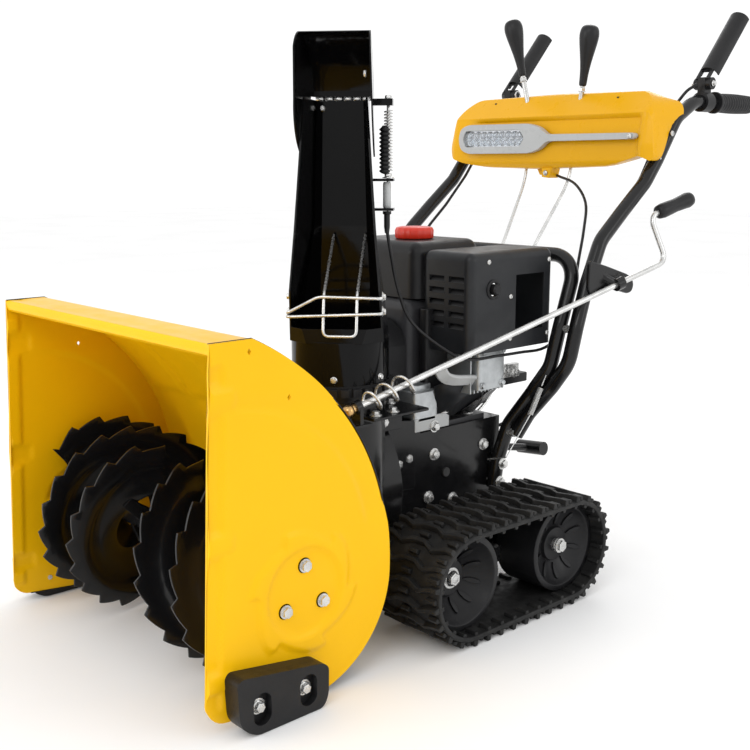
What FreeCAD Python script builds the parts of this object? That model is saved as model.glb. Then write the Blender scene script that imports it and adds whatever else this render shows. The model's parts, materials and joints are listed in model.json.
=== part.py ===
import FreeCAD, Part
import math
import os

import Sketcher
from FreeCAD import Placement, Rotation, Vector

# Two stage snowblower on rubber tracks, millimetres, +Z up.
# X runs across the machine (+X is the operator's left), Y from the auger housing back to the handles.
# Every part is drawn with Y counted from the housing's front edge and Z from the ground, or about
# its own axis, and is moved by its Placement so that the origin is the centre of the footprint.

DRIVING_SIZES = {
    "front_reach": 639.2,  # from the housing's front edge to the origin
    "clearing_half": 284.5,  # half of the clearing width
    "plate_thick": 3.0,
    "sheet_thick": 2.5,
    "housing_top": 506.5,
    "belly_radius": 155.0,
    "auger_y": 137.0,
    "auger_z": 157.0,
    "auger_radius": 139.0,
    "auger_shaft_radius": 11.0,
    "drum_z": 197.0,
    "drum_radius": 152.0,
    "drum_back": 446.0,
    "impeller_radius": 143.0,
    "impeller_shaft_radius": 10.0,
    "chute_x": 90.0,
    "chute_y": 370.0,
    "chute_yaw": 42.0,  # degrees that the chute is swung towards the left side at rest
    "collar_radius": 70.0,
    "collar_top": 372.0,
    "chassis_half": 112.0,
    "crank_z": 398.0,
    "crank_radius": 12.0,
    "idler_y": 433.0,
    "axle_y": 670.0,
    "axle_z": 92.5,
    "axle_radius": 10.0,
    "belt_inner": 190.0,
    "belt_width": 140.0,
    "belt_radius": 84.0,
    "belt_thick": 8.0,
    "lug_height": 8.5,
    "lug_count": 34.0,
    "tube_radius": 12.5,
    "handle_half": 235.0,
    "console_half": 252.0,
    "running_gap": 0.05,
    "moving_gap": 0.5,
    "rod_radius": 5.0,
    "wire_radius": 2.5,
    "cable_radius": 2.8,
}

doc = FreeCAD.newDocument("TwoStageSnowblower")
sheet = doc.addObject("Spreadsheet::Sheet", "Size")
nodes = []


# ---------------------------------------------------------------- helpers


def fill_sheet():
    """One row per driving size: its name in column A and its value, under an alias, in column B."""
    for row, (alias, number) in enumerate(DRIVING_SIZES.items(), start=1):
        sheet.set(f"A{row}", alias)
        sheet.set(f"B{row}", str(number))
        sheet.setAlias(f"B{row}", alias)
    doc.recompute()


def size(alias):
    return float(sheet.get(alias))


def bind(thing, **formulas):
    """Bind properties of a document object to formulas on the sheet's cells."""
    for prop, formula in formulas.items():
        thing.setExpression(prop, formula)
    return thing


def node(thing, name, x=0.0, y=0.0, z=0.0, turn=None):
    """Name a finished sub-part and put its own origin at x, y, z, with y from the front edge."""
    thing.Label = name
    thing.Placement = Placement(Vector(x, y - size("front_reach"), z), turn or Rotation())
    nodes.append(thing)
    return thing


def new_body(name):
    return doc.addObject("PartDesign::Body", name)


def sketch(owner, plane="XY_Plane", lift=0.0):
    """Empty sketch on one of the body's own origin planes, lifted along that plane's normal."""
    drawn = owner.newObject("Sketcher::SketchObject", owner.Name + "Sketch")
    base = next(feature for feature in owner.Origin.OriginFeatures if feature.Role == plane)
    drawn.AttachmentSupport = [(base, "")]
    drawn.MapMode = "FlatFace"
    drawn.AttachmentOffset = Placement(Vector(0, 0, lift), Rotation())
    return drawn


def curves(start, *steps):
    """Lines and arcs from start: a step is an end point, or a pair (middle, end) for an arc."""
    made = []
    here = Vector(*start)
    for step in steps:
        if isinstance(step[0], tuple):
            end = Vector(*step[1])
            made.append(Part.Arc(here, Vector(*step[0]), end))
        else:
            end = Vector(*step)
            made.append(Part.LineSegment(here, end))
        here = end
    return made


def outline(drawn, start, *steps):
    """Closed outline: like curves, with a last line back to the start when it is needed."""
    made = curves(start, *steps)
    last = made[-1].EndPoint
    if (last - Vector(*start)).Length > 1e-6:
        made.append(Part.LineSegment(last, Vector(*start)))
    drawn.addGeometry(made)
    return drawn


def rectangle(drawn, low_x, low_y, high_x, high_y):
    corners = [(low_x, low_y), (high_x, low_y), (high_x, high_y), (low_x, high_y)]
    return outline(drawn, *corners)


def circle(drawn, x, y, formula):
    """Circle whose radius follows a formula on the sheet."""
    index = drawn.addGeometry(Part.Circle(Vector(x, y, 0), Vector(0, 0, 1), 1.0))
    ring = drawn.addConstraint(Sketcher.Constraint("Radius", index, 1.0))
    drawn.setExpression(f"Constraints[{ring}]", str(formula))
    return drawn


def pad(owner, drawn, length, symmetric=False, reverse=False):
    made = owner.newObject("PartDesign::Pad", owner.Name + "Pad")
    made.Profile = drawn
    made.SideType = "Symmetric" if symmetric else "One side"
    made.Reversed = reverse
    return bind(made, Length=str(length))


def pocket(owner, drawn, length, reverse=False, symmetric=False):
    made = owner.newObject("PartDesign::Pocket", owner.Name + "Pocket")
    made.Profile = drawn
    made.SideType = "Symmetric" if symmetric else "One side"
    made.Reversed = reverse
    return bind(made, Length=str(length))


def revolve(owner, drawn, axis="V_Axis"):
    made = owner.newObject("PartDesign::Revolution", owner.Name + "Revolution")
    made.Profile = drawn
    made.ReferenceAxis = (drawn, [axis])
    made.Angle = 360
    return made


def polar(owner, feature, drawn, count):
    """Repeat a feature about the normal of its sketch."""
    made = owner.newObject("PartDesign::PolarPattern", owner.Name + "Pattern")
    made.Originals = [feature]
    made.Axis = (drawn, ["N_Axis"])
    made.Angle = 360
    made.Occurrences = count
    owner.Tip = made
    return made


def round_edges(owner, chosen, radius):
    """Fillet the edges of the body that the chosen test accepts."""
    doc.recompute()
    base = owner.Tip
    edges = base.Shape.Edges
    names = [f"Edge{number}" for number, edge in enumerate(edges, start=1) if chosen(edge)]
    made = owner.newObject("PartDesign::Fillet", owner.Name + "Fillet")
    made.Base = (base, names)
    made.Radius = radius
    return made


def prism(name, plane, low, high, start, *steps):
    """Body padded from one outline, between two distances along the plane's normal."""
    made = new_body(name)
    drawn = outline(sketch(made, plane, low), start, *steps)
    pad(made, drawn, high - low)
    return made


def turned(name, *profile):
    """Body of revolution about its own Z axis, from (radius, height) points."""
    made = new_body(name)
    revolve(made, outline(sketch(made, "XZ_Plane"), *profile))
    return made


def shape_part(name, shape):
    made = doc.addObject("Part::Feature", name)
    made.Shape = shape
    return made


def join(name, *parts):
    """One solid from parts that overlap or meet."""
    made = doc.addObject("Part::MultiFuse", name)
    made.Shapes = list(parts)
    return made


def cut(name, base, tool):
    made = doc.addObject("Part::Cut", name)
    made.Base = base
    made.Tool = tool
    return made


def common(name, *parts):
    made = doc.addObject("Part::MultiCommon", name)
    made.Shapes = list(parts)
    return made


def group(name, *parts):
    """Separate solids kept in one node."""
    made = doc.addObject("Part::Compound", name)
    made.Links = list(parts)
    return made


def mirrored(name, source):
    """The same part on the other side of the machine's middle plane."""
    made = doc.addObject("Part::Mirroring", name)
    made.Source = source
    made.Normal = Vector(1, 0, 0)
    made.Base = Vector(0, 0, 0)
    return made


def cylinder(name, start, axis, length, formula):
    """Part::Cylinder from a start point along an axis, its radius bound to the sheet."""
    made = doc.addObject("Part::Cylinder", name)
    made.Height = length
    made.Placement = Placement(Vector(*start), Rotation(Vector(0, 0, 1), Vector(*axis)))
    return bind(made, Radius=str(formula))


def block(name, low, high):
    """Part::Box between two corners."""
    made = doc.addObject("Part::Box", name)
    made.Length = high[0] - low[0]
    made.Width = high[1] - low[1]
    made.Height = high[2] - low[2]
    made.Placement.Base = Vector(*low)
    return made


def rounded_path(points, radius):
    """Wire of straight runs joined by tangent arcs; a corner's arc shrinks where its runs are short."""
    spots = [Vector(*point) for point in points]
    edges = []
    here = spots[0]
    for before, corner, after in zip(spots, spots[1:], spots[2:]):
        back = (before - corner).normalize()
        ahead = (after - corner).normalize()
        half_turn = (math.pi - back.getAngle(ahead)) / 2
        room = 0.45 * min((before - corner).Length, (after - corner).Length)
        reach = min(room, radius * math.tan(half_turn))
        bend = reach / math.tan(half_turn)
        first = corner + back * reach
        last = corner + ahead * reach
        toward = (back + ahead).normalize()
        depth = bend / math.cos(half_turn) - bend
        edges.append(Part.LineSegment(here, first).toShape())
        edges.append(Part.Arc(first, corner + toward * depth, last).toShape())
        here = last
    edges.append(Part.LineSegment(here, spots[-1]).toShape())
    return Part.Wire(edges)


def tube(points, radius, bend, bore=0.0):
    """Round bar or tube swept along a rounded path."""
    path = rounded_path(points, bend)
    start = Vector(*points[0])
    along = Vector(*points[1]) - start
    solid = path.makePipeShell([Part.Wire([Part.makeCircle(radius, start, along)])], True, False)
    if bore:
        hollow = path.makePipeShell([Part.Wire([Part.makeCircle(bore, start, along)])], True, False)
        solid = solid.cut(hollow)
    return solid


def mirror_points(points):
    return [(-x, y, z) for x, y, z in points]


def plane_loop(wheels, width, thick):
    """Belt round two wheels in the YZ plane, from x 0 to its width; a wheel is (y, z, radius)."""
    outer = belt_face(wheels, thick).extrude(Vector(width, 0, 0))
    inner = belt_face(wheels, 0.0).extrude(Vector(width, 0, 0))
    return outer.cut(inner)


def belt_face(wheels, extra):
    """Face bounded by two pulleys and their outer tangents."""
    (first_y, first_z, first_r), (second_y, second_z, second_r) = wheels
    first_r += extra
    second_r += extra
    gap = math.hypot(second_y - first_y, second_z - first_z)
    heading = math.atan2(second_z - first_z, second_y - first_y)
    spread = math.acos((first_r - second_r) / gap)

    def spot(y, z, radius, angle):
        return Vector(0, y + radius * math.cos(angle), z + radius * math.sin(angle))

    upper, lower = heading + spread, heading - spread
    first_up = spot(first_y, first_z, first_r, upper)
    first_low = spot(first_y, first_z, first_r, lower)
    second_up = spot(second_y, second_z, second_r, upper)
    second_low = spot(second_y, second_z, second_r, lower)
    far_back = spot(first_y, first_z, first_r, heading + math.pi)
    far_ahead = spot(second_y, second_z, second_r, heading)
    edges = [
        Part.Arc(first_up, far_back, first_low).toShape(),
        Part.LineSegment(first_low, second_low).toShape(),
        Part.Arc(second_low, far_ahead, second_up).toShape(),
        Part.LineSegment(second_up, first_up).toShape(),
    ]
    return Part.Face(Part.Wire(edges))


def hex_bolt(across=13.0, shank=10.0, radius=4.0):
    """Hexagon bolt with a washer; its head looks along +Z and the washer sits on Z 0."""
    head = Part.Face(Part.makePolygon([
        Vector(across / math.sqrt(3) * math.cos(turn), across / math.sqrt(3) * math.sin(turn), 1.5)
        for turn in [math.radians(60 * side) for side in range(7)]
    ])).extrude(Vector(0, 0, 5.5))
    washer = Part.makeCylinder(across * 0.72, 1.5)
    stem = Part.makeCylinder(radius, shank, Vector(0, 0, -shank))
    return head.fuse(washer).fuse(stem)


def aimed(shape, spot, axis):
    """A copy of a shape with its Z axis along axis and its origin at spot."""
    made = shape.copy()
    made.Placement = Placement(Vector(*spot), Rotation(Vector(0, 0, 1), Vector(*axis)))
    return made


# ---------------------------------------------------------------- auger housing


def side_curves():
    """Outline of a housing side: flat top, curved back, round belly and leaning front edge."""
    auger_y, auger_z = size("auger_y"), size("auger_z")
    belly, top = size("belly_radius"), size("housing_top")

    def on_belly(degrees):
        turn = math.radians(degrees)
        return (auger_y + belly * math.cos(turn), auger_z + belly * math.sin(turn))

    return curves(
        (0, top),
        (63, top),
        ((167, 437), (212, 391)),
        ((275, 276), on_belly(0)),
        (on_belly(-45), on_belly(-104)),
        (8, 16),
        ((-13, 26), (-20, 52)),
        (0, top),
    )


PLATE_BOLTS = [(138, 194), (105, 138), (168, 137)]
CUTTER_HOLES = [(57, 491), (118, 425)]
SKID_BOLTS = [(43, 34), (118, 34)]


def side_plate(name, inner_face):
    """Flat side with a bearing hole, three flange bolt holes and two skid bolt holes."""
    made = new_body(name)
    drawn = sketch(made, "YZ_Plane", inner_face)
    drawn.addGeometry(side_curves())
    pad(made, drawn, "Size.plate_thick")
    holes = sketch(made, "YZ_Plane", inner_face)
    circle(holes, size("auger_y"), size("auger_z"), "Size.auger_shaft_radius + 1")
    for y, z in PLATE_BOLTS + SKID_BOLTS:
        circle(holes, y, z, 4.2)
    for y, z in CUTTER_HOLES:
        circle(holes, y, z, 3.2)
    pocket(made, holes, "2 * Size.plate_thick", reverse=True)
    return node(made, name)


def housing_shell():
    """Bent sheet between the sides: top, back and belly, with the round way out to the impeller."""
    half = size("clearing_half")
    face = Part.Face(Part.Wire([curve.toShape() for curve in side_curves()]))
    turn_up = Placement(Vector(-half, 0, 0), Rotation(Vector(1, 1, 1), 120))
    inner = face.makeOffset2D(-size("sheet_thick"))
    solid = face.extrude(Vector(0, 0, 2 * half)).cut(inner.extrude(Vector(0, 0, 2 * half)))
    solid.Placement = turn_up
    top = size("housing_top") - size("sheet_thick")
    mouth = Part.Face(Part.makePolygon([
        Vector(-half, *corner)
        for corner in [(-60, -10), (13, -10), (13, 40), (-10, 60), (16, top), (-60, top), (-60, -10)]
    ])).extrude(Vector(2 * half, 0, 0))
    outlet = Part.makeCylinder(size("drum_radius") - size("sheet_thick"), 200,
                               Vector(0, 200, size("drum_z")), Vector(0, 1, 0))
    return node(shape_part("HousingShell", solid.cut(mouth).cut(outlet)), "housing_shell")


def housing_inside():
    """Solid of the housing's whole outline, used to trim what is welded to its back."""
    half = size("clearing_half")
    solid = Part.Face(Part.Wire([curve.toShape() for curve in side_curves()])).extrude(
        Vector(0, 0, 2 * half))
    solid.Placement = Placement(Vector(-half, 0, 0), Rotation(Vector(1, 1, 1), 120))
    return solid


def impeller_drum():
    """Round casing of the impeller with its back plate and the discharge collar on top."""
    drum_z, radius, back = size("drum_z"), size("drum_radius"), size("drum_back")
    thick = size("sheet_thick")
    collar = size("collar_radius")
    along = Vector(0, 1, 0)
    foot = Vector(size("chute_x"), size("chute_y"), drum_z)
    rise = size("collar_top") - drum_z
    outer = Part.makeCylinder(radius, back - 200, Vector(0, 200, drum_z), along)
    spout = Part.makeCylinder(collar, rise, foot)
    flange = Part.makeCylinder(collar + 4, 4, foot + Vector(0, 0, rise - 14))
    solid = outer.fuse(spout).fuse(flange)
    room = Part.makeCylinder(radius - thick, back - 3 - 200, Vector(0, 200, drum_z), along)
    way_out = Part.makeCylinder(collar - thick, rise, foot)
    bearing = Part.makeCylinder(26, 14, Vector(0, back - 3, drum_z), along)
    seat = Part.makeCylinder(size("impeller_shaft_radius") + size("running_gap"), 40,
                             Vector(0, back - 10, drum_z), along)
    solid = solid.cut(room).cut(way_out).fuse(bearing).cut(seat).cut(housing_inside())
    return node(shape_part("ImpellerDrum", solid), "impeller_drum")


def scraper_bar():
    """Wear strip bent round the outside of the belly, low at its back."""
    belly = size("belly_radius")

    def spot(radius, degrees):
        turn = math.radians(degrees)
        return (size("auger_y") + radius * math.cos(turn), size("auger_z") + radius * math.sin(turn))

    outer = belly + 3
    made = prism("ScraperBar", "YZ_Plane", -size("clearing_half") + 2, size("clearing_half") - 2,
                 spot(belly, -80), (spot(belly, -65), spot(belly, -48)), spot(outer, -48),
                 (spot(outer, -65), spot(outer, -80)))
    return node(made, "scraper_bar")


def skid_shoes():
    """Moulded shoe bolted outside each plate: chamfered block with two oval pockets and slots."""
    face = size("clearing_half") + size("plate_thick")
    shoe = prism("SkidShoe", "YZ_Plane", face, face + 30,
                 (5, 70), (14, 81), (140, 81), (149, 70), (149, 42),
                 (131, 18), (98, 0), (56, 0), (23, 18), (5, 42))
    ovals = sketch(shoe, "YZ_Plane", face + 30)
    slots = sketch(shoe, "YZ_Plane", face + 30)
    for y, z in SKID_BOLTS:
        stadium(ovals, y, z + 4, 17, 10)
        stadium(slots, y, z + 3, 5, 7)
    pocket(shoe, ovals, 12)
    pocket(shoe, slots, 40)
    round_edges(shoe, lambda edge: edge.BoundBox.XMin > face + 29.9
                and isinstance(edge.Curve, Part.Line) and edge.Length > 22, 3)
    return node(group("SkidShoes", shoe, mirrored("SkidShoeRight", shoe)), "skid_shoes")


def stadium(drawn, y, z, radius, half_run):
    """Upright slot outline about a centre."""
    return outline(drawn, (y - radius, z - half_run), ((y, z - half_run - radius),
                   (y + radius, z - half_run)), (y + radius, z + half_run),
                   ((y, z + half_run + radius), (y - radius, z + half_run)))


def auger_bearings():
    """Flanged bearing inside each side plate that carries the end of the auger shaft."""
    half = size("clearing_half")
    made = new_body("AugerBearing")
    drawn = sketch(made, "XY_Plane")
    outline(drawn, (half, 12), (half, 46), (half - 4, 46), (half - 4, 24), (half - 8, 20), (half - 8, 12))
    revolve(made, drawn, "H_Axis")
    seat = cylinder("BearingSeat", (200, 0, 0), (1, 0, 0), 100,
                    "Size.auger_shaft_radius + Size.running_gap")
    bored = cut("BearingBored", made, seat)
    drills = group("BearingDrills", *[
        cylinder(f"BearingDrill{number}", (half - 20, y - size("auger_y"), z - size("auger_z")),
                 (1, 0, 0), 40, 4.2)
        for number, (y, z) in enumerate(PLATE_BOLTS)])
    flange = cut("BearingFlange", bored, drills)
    pair = group("AugerBearings", flange, mirrored("AugerBearingRight", flange))
    return node(pair, "auger_bearings", y=size("auger_y"), z=size("auger_z"))


def root_bolts():
    """All hexagon bolts of the fixed frame, each a solid of its own."""
    face = size("clearing_half") + size("plate_thick")
    solids = []
    for side in (1, -1):
        for y, z in PLATE_BOLTS:
            solids.append(aimed(hex_bolt(shank=7.0), (side * face, y, z), (side, 0, 0)))
        for y, z in SKID_BOLTS:
            solids.append(aimed(hex_bolt(across=12.0, shank=22.0), (side * (face + 18), y, z), (side, 0, 0)))
        for y, z in CHASSIS_BOLTS:
            solids.append(aimed(hex_bolt(shank=2.5), (side * size("chassis_half"), y, z), (side, 0, 0)))
        for y, z in LEG_BOLTS:
            outside = LEG_X + size("tube_radius")
            solids.append(aimed(hex_bolt(shank=outside - size("chassis_half") + 3), (side * outside, y, z),
                                (side, 0, 0)))
        solids += handle_clamps(side)
    for x, y in ENGINE_FEET:
        solids.append(aimed(hex_bolt(shank=11.0), (x, y, ENGINE_DECK + 8), (0, 0, 1)))
    return node(shape_part("FrameBolts", Part.makeCompound(solids)), "frame_bolts")


def handle_clamps(side):
    """Spacers between an upper handle tube and the arch, shaped to both tubes."""
    spots = [(144, 716, 250), (224, 765, 438)]
    tubes = left_handle_tube().fuse(tube(LOWER_LEG, size("tube_radius"), 50))
    if side < 0:
        tubes = tubes.mirror(Vector(0, 0, 0), Vector(1, 0, 0))
    clamps = []
    for x, y, z in spots:
        spacer = Part.makeCylinder(7, 22, Vector(side * x - 11, y, z), Vector(1, 0, 0)).cut(tubes)
        clamps.append(max(spacer.Solids, key=middle_share(side * x)))
    return clamps


def middle_share(x):
    """Sorting key: the piece whose centre lies nearest to x comes last."""
    return lambda solid: -abs(solid.CenterOfMass.x - x)


# ---------------------------------------------------------------- chassis and drive


CHASSIS_BOLTS = [(471, 232), (494, 238), (557, 233), (680, 229), (544, 160), (603, 146), (465, 101)]
LEG_BOLTS = [(696, 162), (703, 194)]
LEG_X = 126.0
ENGINE_DECK = 275.0
ENGINE_FEET = [(-85, 560), (85, 560), (-85, 665), (85, 665)]
PULLEY_Y = 468.0
PEDAL_Y, PEDAL_Z, PEDAL_PIN = 739.0, 200.0, 6.0
WHEEL_SHAFT_Y = 584.5


def chassis_case():
    """Welded sheet case between the drum and the rear axle, open below, with the engine deck on top."""
    half, back = size("chassis_half"), size("drum_back")
    made = new_body("ChassisCase")
    drawn = outline(sketch(made, "YZ_Plane"), (back, 94), (back, 297), (524, 297), (524, ENGINE_DECK),
                    (722, ENGINE_DECK), (722, 165), (712, 70), (632, 70), (600, 123), (510, 123), (500, 94))
    pad(made, drawn, "2 * Size.chassis_half", symmetric=True)
    room = outline(sketch(made, "YZ_Plane"), (back + 3, 60), (back + 3, 294), (521, 294),
                   (521, ENGINE_DECK - 3), (719, ENGINE_DECK - 3), (719, 60))
    pocket(made, room, "2 * Size.chassis_half - 6", symmetric=True)
    holes = sketch(made, "YZ_Plane")
    circle(holes, size("axle_y"), size("axle_z"), "Size.axle_radius + Size.running_gap")
    circle(holes, WHEEL_SHAFT_Y, size("drum_z"), "8 + Size.running_gap")
    pocket(made, holes, "3 * Size.chassis_half", symmetric=True)
    front_hole = sketch(made, "XZ_Plane", -back)
    circle(front_hole, 0, size("drum_z"), 27)
    pocket(made, front_hole, 10)
    hatch = rectangle(sketch(made, "XY_Plane", 297), -72, back + 20, 72, 516)
    pocket(made, hatch, 10)
    drills = sketch(made, "YZ_Plane")
    for y, z in CHASSIS_BOLTS + LEG_BOLTS:
        circle(drills, y, z, 4.2)
    pocket(made, drills, "3 * Size.chassis_half", symmetric=True)
    feet = sketch(made, "XY_Plane", ENGINE_DECK)
    for x, y in ENGINE_FEET:
        circle(feet, x, y, 4.2)
    pocket(made, feet, 10)
    return node(join("ChassisWelded", made, pedal_mount()), "chassis_case")


def pedal_mount():
    """Back plate with two ears and the pin that the foot pedal turns on."""
    plate = block("PedalPlate", (-5, 722, 170), (85, 725, 230))
    ears = [block(f"PedalEar{number}", (x, 722, 183), (x + 4, 750, 217))
            for number, x in enumerate((20, 56))]
    pin = cylinder("PedalPin", (20, PEDAL_Y, PEDAL_Z), (1, 0, 0), 40, PEDAL_PIN)
    return join("PedalMount", plate, pin, *ears)


def belt_cover():
    """Moulded cover over the pulleys in front of the engine."""
    front = PULLEY_Y - 5
    made = new_body("BeltCover")
    drawn = outline(sketch(made, "XZ_Plane", -front), (-78, 297), (-78, 420), ((-55, 452), (-20, 462)),
                    (20, 462), ((55, 452), (78, 420)), (78, 297))
    pad(made, drawn, 60, reverse=True)
    room = outline(sketch(made, "XZ_Plane", -front - 3), (-75, 290), (-75, 419), ((-53, 449), (-19, 459)),
                   (19, 459), ((53, 449), (75, 419)), (75, 290))
    pocket(made, room, 60)
    return node(made, "belt_cover")


def pulley(radius, bore, grooves, width=16.0):
    """Vee pulley about Z from z 0, one groove or two."""
    profile = [(bore, 0), (radius, 0)]
    for groove in range(grooves):
        low = groove * width
        profile += [(radius, low + 2), (radius - 9, low + 5), (radius - 9, low + 11), (radius, low + 14)]
    profile += [(radius, grooves * width), (bore, grooves * width)]
    return profile


def crankshaft():
    """Engine shaft with its two-groove pulley and the flywheel at the other end."""
    shaft = turned("CrankShaft", (0, 0), (size("crank_radius"), 0), (size("crank_radius"), 224),
                   (70, 224), (78, 228), (78, 244), (0, 244))
    wheel = turned("CrankPulley", *pulley(36, 0, 2))
    wheel.Placement.Base = Vector(0, 0, 1)
    whole = join("Crankshaft", shaft, wheel)
    return node(whole, "crankshaft", y=PULLEY_Y - 1, z=size("crank_z"), turn=Rotation(Vector(1, 0, 0), -90))


def drive_belts():
    """Auger belt and traction belt at the front and the final chain beside the case's left wall."""
    gap = size("moving_gap")
    root = 27 + gap
    belt_width = 5.5
    auger_belt = plane_loop([(0, size("crank_z"), root), (0, size("drum_z"), 82 + gap)], belt_width, 7)
    traction = plane_loop([(0, size("crank_z"), root), (0, size("drum_z"), 62 + gap)], belt_width, 7)
    across = Rotation(Vector(0, 0, 1), 90)
    auger_belt.Placement = Placement(Vector(0, PULLEY_Y + 5.25, 0), across)
    traction.Placement = Placement(Vector(0, PULLEY_Y + 21.25, 0), across)
    chain = plane_loop([(WHEEL_SHAFT_Y, size("drum_z"), 24 + gap),
                        (size("axle_y"), size("axle_z"), 52 + gap)], 5, 6)
    chain.translate(Vector(70, 0, 0))
    return node(shape_part("DriveBelts", Part.makeCompound([auger_belt, traction, chain])), "drive_belts")


def friction_disc():
    """Steel disc with its own pulley: the front belt turns it and the rubber wheel runs on its face."""
    made = turned("FrictionDisc", (size("impeller_shaft_radius") + 6, 0), (70, 0), (70, 2), (62, 5),
                  (62, 11), (70, 14), (70, 16), (30, 16), (30, 24), (78, 24), (78, 30),
                  (size("impeller_shaft_radius") + 6, 30))
    return node(made, "friction_disc", y=PULLEY_Y + 16, z=size("drum_z"), turn=Rotation(Vector(1, 0, 0), -90))


def friction_wheel():
    """Rubber rimmed wheel on its cross shaft, with the sprocket that drives the axle."""
    half = size("chassis_half")
    shaft = cylinder("WheelShaft", (0, 0, -half - 4), (0, 0, 1), 2 * half + 8, 8)
    wheel = turned("DriveDisc", (0, -36), (70, -36), (70, -26), (0, -26))
    sprocket = turned("DriveSprocket", (0, 70), (24, 70), (24, 75), (0, 75))
    whole = join("FrictionWheel", shaft, wheel, sprocket)
    return node(whole, "friction_wheel", y=WHEEL_SHAFT_Y, z=size("drum_z"),
                turn=Rotation(Vector(0, 1, 0), 90))


def drive_axle():
    """Through axle with the driven sprocket and a bolt head at each end."""
    reach = 296
    shaft = cylinder("AxleShaft", (0, 0, -reach), (0, 0, 1), 2 * reach, "Size.axle_radius")
    sprocket = turned("AxleSprocket", (0, 70), (52, 70), (52, 75), (0, 75))
    heads = [shape_part(f"AxleHead{side}", aimed(hex_bolt(17.0, 4.0), (0, 0, side * reach), (0, 0, side)))
             for side in (1, -1)]
    whole = join("DriveAxle", shaft, sprocket, *heads)
    return node(whole, "drive_axle", y=size("axle_y"), z=size("axle_z"),
                turn=Rotation(Vector(0, 1, 0), 90))


# ---------------------------------------------------------------- tracks


def wheel_profile(bore, hub_face):
    """Half section of a dished track wheel, (radius, distance from the middle plane)."""
    rim = size("belt_radius") - size("belt_thick") - size("moving_gap")
    inner = size("belt_inner") + 30
    outer = size("belt_inner") + size("belt_width") - 26
    return [(bore, inner + 4), (26, inner + 4), (30, hub_face - 16), (rim - 12, outer - 10),
            (rim - 9, inner), (rim, inner), (rim, outer), (rim - 8, outer), (30, hub_face - 8),
            (28, hub_face), (bore, hub_face)]


def track_wheel(name, bore, hub_face):
    """Dished wheel about Z with a ring of openings through the web."""
    made = turned(name, *wheel_profile(bore, hub_face))
    window = sketch(made, "XY_Plane")
    outline(window, (38, -9), (54, -13), (54, 13), (38, 9))
    opening = pocket(made, window, 500, reverse=True)
    polar(made, opening, window, 6)
    return made


def drive_wheels():
    """Driven wheel of each track, fixed on the axle."""
    wheel = track_wheel("DriveWheel", size("axle_radius"), 286)
    pair = group("DriveWheels", wheel, mirror_along_axis("DriveWheelRight", wheel))
    return node(pair, "drive_wheels", y=size("axle_y"), z=size("axle_z"),
                turn=Rotation(Vector(0, 1, 0), 90))


def mirror_along_axis(name, source):
    made = doc.addObject("Part::Mirroring", name)
    made.Source = source
    made.Normal = Vector(0, 0, 1)
    return made


def idler_wheel(name, side):
    """Front wheel of one track, free on its stub axle."""
    wheel = track_wheel(name + "Wheel", 8 + size("running_gap"), 272)
    finished = wheel if side > 0 else mirror_along_axis(name + "Mirror", wheel)
    return node(finished, name, y=size("idler_y"), z=size("axle_z"), turn=Rotation(Vector(0, 1, 0), 90))


def track_frames():
    """Inner plate of each track with the stub axle and bolt of the idler and a boss for the axle."""
    inner = size("belt_inner")
    idler_y, axle_y, axle_z = size("idler_y"), size("axle_y"), size("axle_z")
    plate = prism("TrackPlate", "YZ_Plane", inner + 12, inner + 18,
                  (idler_y - 20, axle_z - 10), ((idler_y - 28, axle_z + 5), (idler_y - 10, axle_z + 20)),
                  (axle_y - 40, axle_z + 34), (axle_y + 30, axle_z + 24), (axle_y + 30, axle_z - 24),
                  (axle_y - 40, axle_z - 30))
    stub = cylinder("IdlerStub", (inner + 16, idler_y, axle_z), (1, 0, 0), 277 - inner - 16, 8)
    head = shape_part("IdlerHead", aimed(hex_bolt(17.0, 3.0), (276, idler_y, axle_z), (1, 0, 0)))
    arm = block("TrackArm", (inner + 18, 520, axle_z - 14), (inner + 62, 572, axle_z + 12))
    frame = join("TrackFrame", plate, stub, head, arm)
    seat = cylinder("AxleSeat", (inner, axle_y, axle_z), (1, 0, 0), 60,
                    "Size.axle_radius + Size.running_gap")
    bored = cut("TrackFrameBored", frame, seat)
    tie = track_tie()
    left = join("TrackFrameLeft", bored, tie)
    return node(group("TrackFrames", left, mirrored("TrackFrameRight", left)), "track_frames")


def track_tie():
    """Sleeve round the axle between the chassis and the track plate."""
    outer = cylinder("TieOuter", (size("chassis_half") + 0.6, size("axle_y"), size("axle_z")), (1, 0, 0),
                     size("belt_inner") + 12 - size("chassis_half") - 0.6, 18)
    inner = cylinder("TieBore", (size("chassis_half"), size("axle_y"), size("axle_z")), (1, 0, 0), 120,
                     "Size.axle_radius + Size.running_gap")
    return cut("TrackTie", outer, inner)


def belt_spot(travel):
    """Point and outward heading on the belt's outer face at a distance along the loop."""
    radius = size("belt_radius")
    front, rear, middle = size("idler_y"), size("axle_y"), size("axle_z")
    straight = rear - front
    arc = math.pi * radius
    if travel < straight:
        return front + travel, middle + radius, 90.0
    travel -= straight
    if travel < arc:
        heading = 90.0 - 180.0 * travel / arc
        return (rear + radius * math.cos(math.radians(heading)),
                middle + radius * math.sin(math.radians(heading)), heading)
    travel -= arc
    if travel < straight:
        return rear - travel, middle - radius, -90.0
    heading = -90.0 - 180.0 * (travel - straight) / arc
    return (front + radius * math.cos(math.radians(heading)),
            middle + radius * math.sin(math.radians(heading)), heading)


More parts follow.
